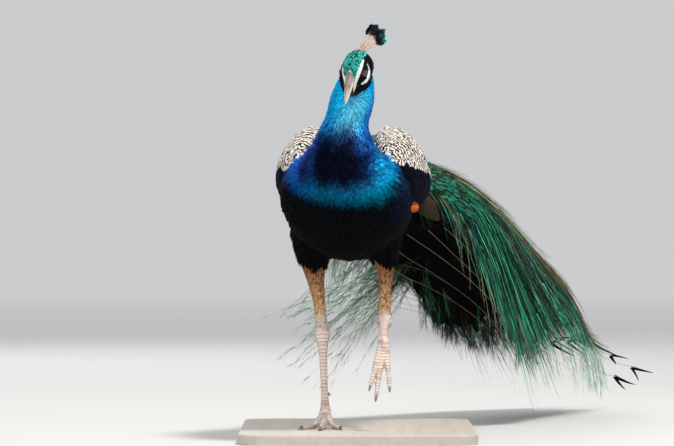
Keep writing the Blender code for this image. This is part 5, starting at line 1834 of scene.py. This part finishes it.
def build_scutes(skin):
    """Overlapping horny plates down the front and back of each tarsus and along the top of each toe."""
    tree = tree_of(skin)
    rng = np.random.default_rng(55)
    # each plate: place, way down the limb, way it faces, turn round the limb, length, radius, half arc
    plates = []
    legs = ((HOCK_RIGHT, FOOT_RIGHT, (0.0, -1.0, 0.0)), (HOCK_LEFT, FOOT_LEFT, (0.0, -0.5, 0.87)))
    for hock, foot, ahead in legs:
        down = unit(foot - hock)
        long = np.linalg.norm(foot - hock)
        ahead = unit(ahead - down * (ahead @ down))
        for turned, count, arc in ((0.0, 21, 1.15), (math.pi, 19, 0.95)):
            for j in range(count):
                share = 0.05 + 0.90 * (j + rng.uniform(-0.08, 0.08)) / count
                radius = np.interp(share, *TARSUS_RADII)
                size = 1.22 * 0.90 * long / count
                plates.append((hock + down * long * share, down, ahead, turned, size, radius, arc))
    for left, foot, faces_to in ((False, FOOT_RIGHT, (0, 0, 1.0)), (True, FOOT_LEFT, (0, -1.0, 0))):
        for spread_by, hang, length, root, aside in TOE_SHAPES:
            count = int(length / 0.0050)
            t = np.linspace(0.06, 0.97, count)
            line = toe_line(left, spread_by, hang, length, root, aside, foot, t)
            for place, down, share in zip(line, unit(np.gradient(line, axis=0)), t):
                ahead = unit(faces_to - down * (faces_to @ down))
                radius = root * (1 - 0.42 * share)
                plates.append((place, down, ahead, 0.0, 1.25 * length / count, radius, 1.05))
    T, C = np.meshgrid(np.linspace(0, 1, 5), np.linspace(-1, 1, 9), indexing="ij")
    rim = np.maximum(smooth(T, 0.80, 0.97), smooth(np.abs(C), 0.86, 1.0))
    lift = 0.00012 + 0.00055 * T * (1 - 0.8 * C**4) - 0.00030 * (T > 0.95)
    verts, colours = [], []
    for place, down, ahead, turned, size, radius, arc in plates:
        beside = unit(np.cross(down, ahead))
        round_by = turned + arc * C * (1 - 0.10 * (T > 0.8))
        spot = place + down * ((T - 0.5) * size + 0.12 * size * (1 - C**2))[..., None]
        out = ahead * np.cos(round_by)[..., None] + beside * np.sin(round_by)[..., None]
        far = spot + out * radius * 2.2
        for at, way, start, up in zip(*(a.reshape(-1, 3) for a in (spot, out, far)), lift.ravel()):
            hit = tree.ray_cast(start.tolist(), (-way).tolist(), radius * 2.2)[0]
            verts.append((np.array(hit) if hit is not None else at + way * radius) + way * up)
        tone = LEG_SKIN * rng.uniform(0.90, 1.08)
        if rng.random() < 0.10:
            tone = mix(tone, srgb(206, 160, 140), 0.5)
        colours.append(mix(tone * (1.05 - 0.25 * (1 - T))[..., None], LEG_GROOVE, 0.85 * rim))
    index = np.arange(len(plates))
    spots = 0.05 + 0.9 * np.stack([index % 20, index // 20], axis=1) / 20
    bake = spots[:, None, None] + np.stack([T, (C + 1) / 2], -1) * BAKE_PATCH
    build_piece("leg_scutes", verts, grid_faces(*T.shape, len(plates)), colours, "scute", bake)


# ---- stage, light and camera ----
def build_stage():
    """A wide pale floor that grows lighter far away, where it meets the background."""
    mesh = bpy.data.meshes.new("floor")
    bm = bmesh.new()
    bmesh.ops.create_circle(bm, cap_ends=True, segments=96, radius=60)
    bm.to_mesh(mesh)
    bm.free()
    surface = Surface("floor_paint", 0.8, Specular_IOR_Level=0.2)
    far = surface.add("VectorMath", (0, surface.place()), operation="LENGTH").outputs["Value"]
    surface.paint(surface.blend(surface.ranged(far, 2.5, 14.0), (0.62, 0.62, 0.61), (1.0, 1.0, 1.0)))
    mesh.materials.append(surface.material)
    floor = bpy.data.objects.new("floor", mesh)
    SCENE.collection.objects.link(floor)


def add_area(name, place, target, size, energy, colour=(1, 1, 1)):
    light = bpy.data.lights.new(name, "AREA")
    light.shape, light.size, light.energy, light.color = "DISK", size, energy, colour
    obj = bpy.data.objects.new(name, light)
    obj.location = place
    obj.rotation_euler = (Vector(target) - Vector(place)).to_track_quat("-Z", "Y").to_euler()
    SCENE.collection.objects.link(obj)


def build_light_and_camera():
    """Warm key from above, wide fill from in front, soft light behind; the photo's view, a long lens."""
    add_area("key", (1.3, -0.9, 4.2), (0.05, 0.1, 0.40), 0.8, 165, (1.0, 0.97, 0.92))
    add_area("front", (-0.8, -4.6, 2.0), (0.1, 0.1, 0.35), 2.6, 70, (1.0, 0.99, 0.97))
    add_area("back", (-1.2, 4.2, 3.0), (0.2, 0.5, 0.3), 2.6, 60)
    world = bpy.data.worlds.new("studio")
    world.use_nodes = True
    sky = world.node_tree.nodes["Background"]
    sky.inputs["Color"].default_value = (0.90, 0.91, 0.93, 1)
    sky.inputs["Strength"].default_value = 0.66
    SCENE.world = world
    SCENE.view_settings.view_transform = "Standard"
    camera = bpy.data.objects.new("camera", bpy.data.cameras.new("camera"))
    camera.location = (0, -7.0, 0.368)
    camera.rotation_euler = (math.pi / 2, 0, 0)
    camera.data.sensor_width, camera.data.lens = 36.0, 219.9
    SCENE.collection.objects.link(camera)
    SCENE.camera = camera


# ---- CAD nodes that stay ----
def finish_cad_nodes():
    """Materials for the CAD nodes that no piece replaces; claws and spurs are rounded off too."""
    for name, obj in NODES.items():
        claw = name.startswith(("claw", "spur"))
        if claw or name == "stand_base":
            for slot in obj.material_slots:
                slot.material = MATERIALS["horn" if claw else "base"]
        if claw:
            step = obj.modifiers.new("Round", "SUBSURF")
            step.levels = step.render_levels = 2


def main():
    skin = build_skin()
    points, _ = mesh_points(skin.data)
    regions = region_of(points)
    paint(skin.data, body_colour(points, regions))
    skin.data.materials.clear()
    skin.data.materials.append(MATERIALS["skin"])
    skin.data.shade_smooth()
    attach(skin, "root")
    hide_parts(*FLESH)
    lay_body(skin, points, regions)
    build_flight_feathers()
    build_train()
    build_bill()
    build_eyes()
    build_crest()
    build_scutes(skin)
    finish_cad_nodes()
    build_stage()
    build_light_and_camera()


main()
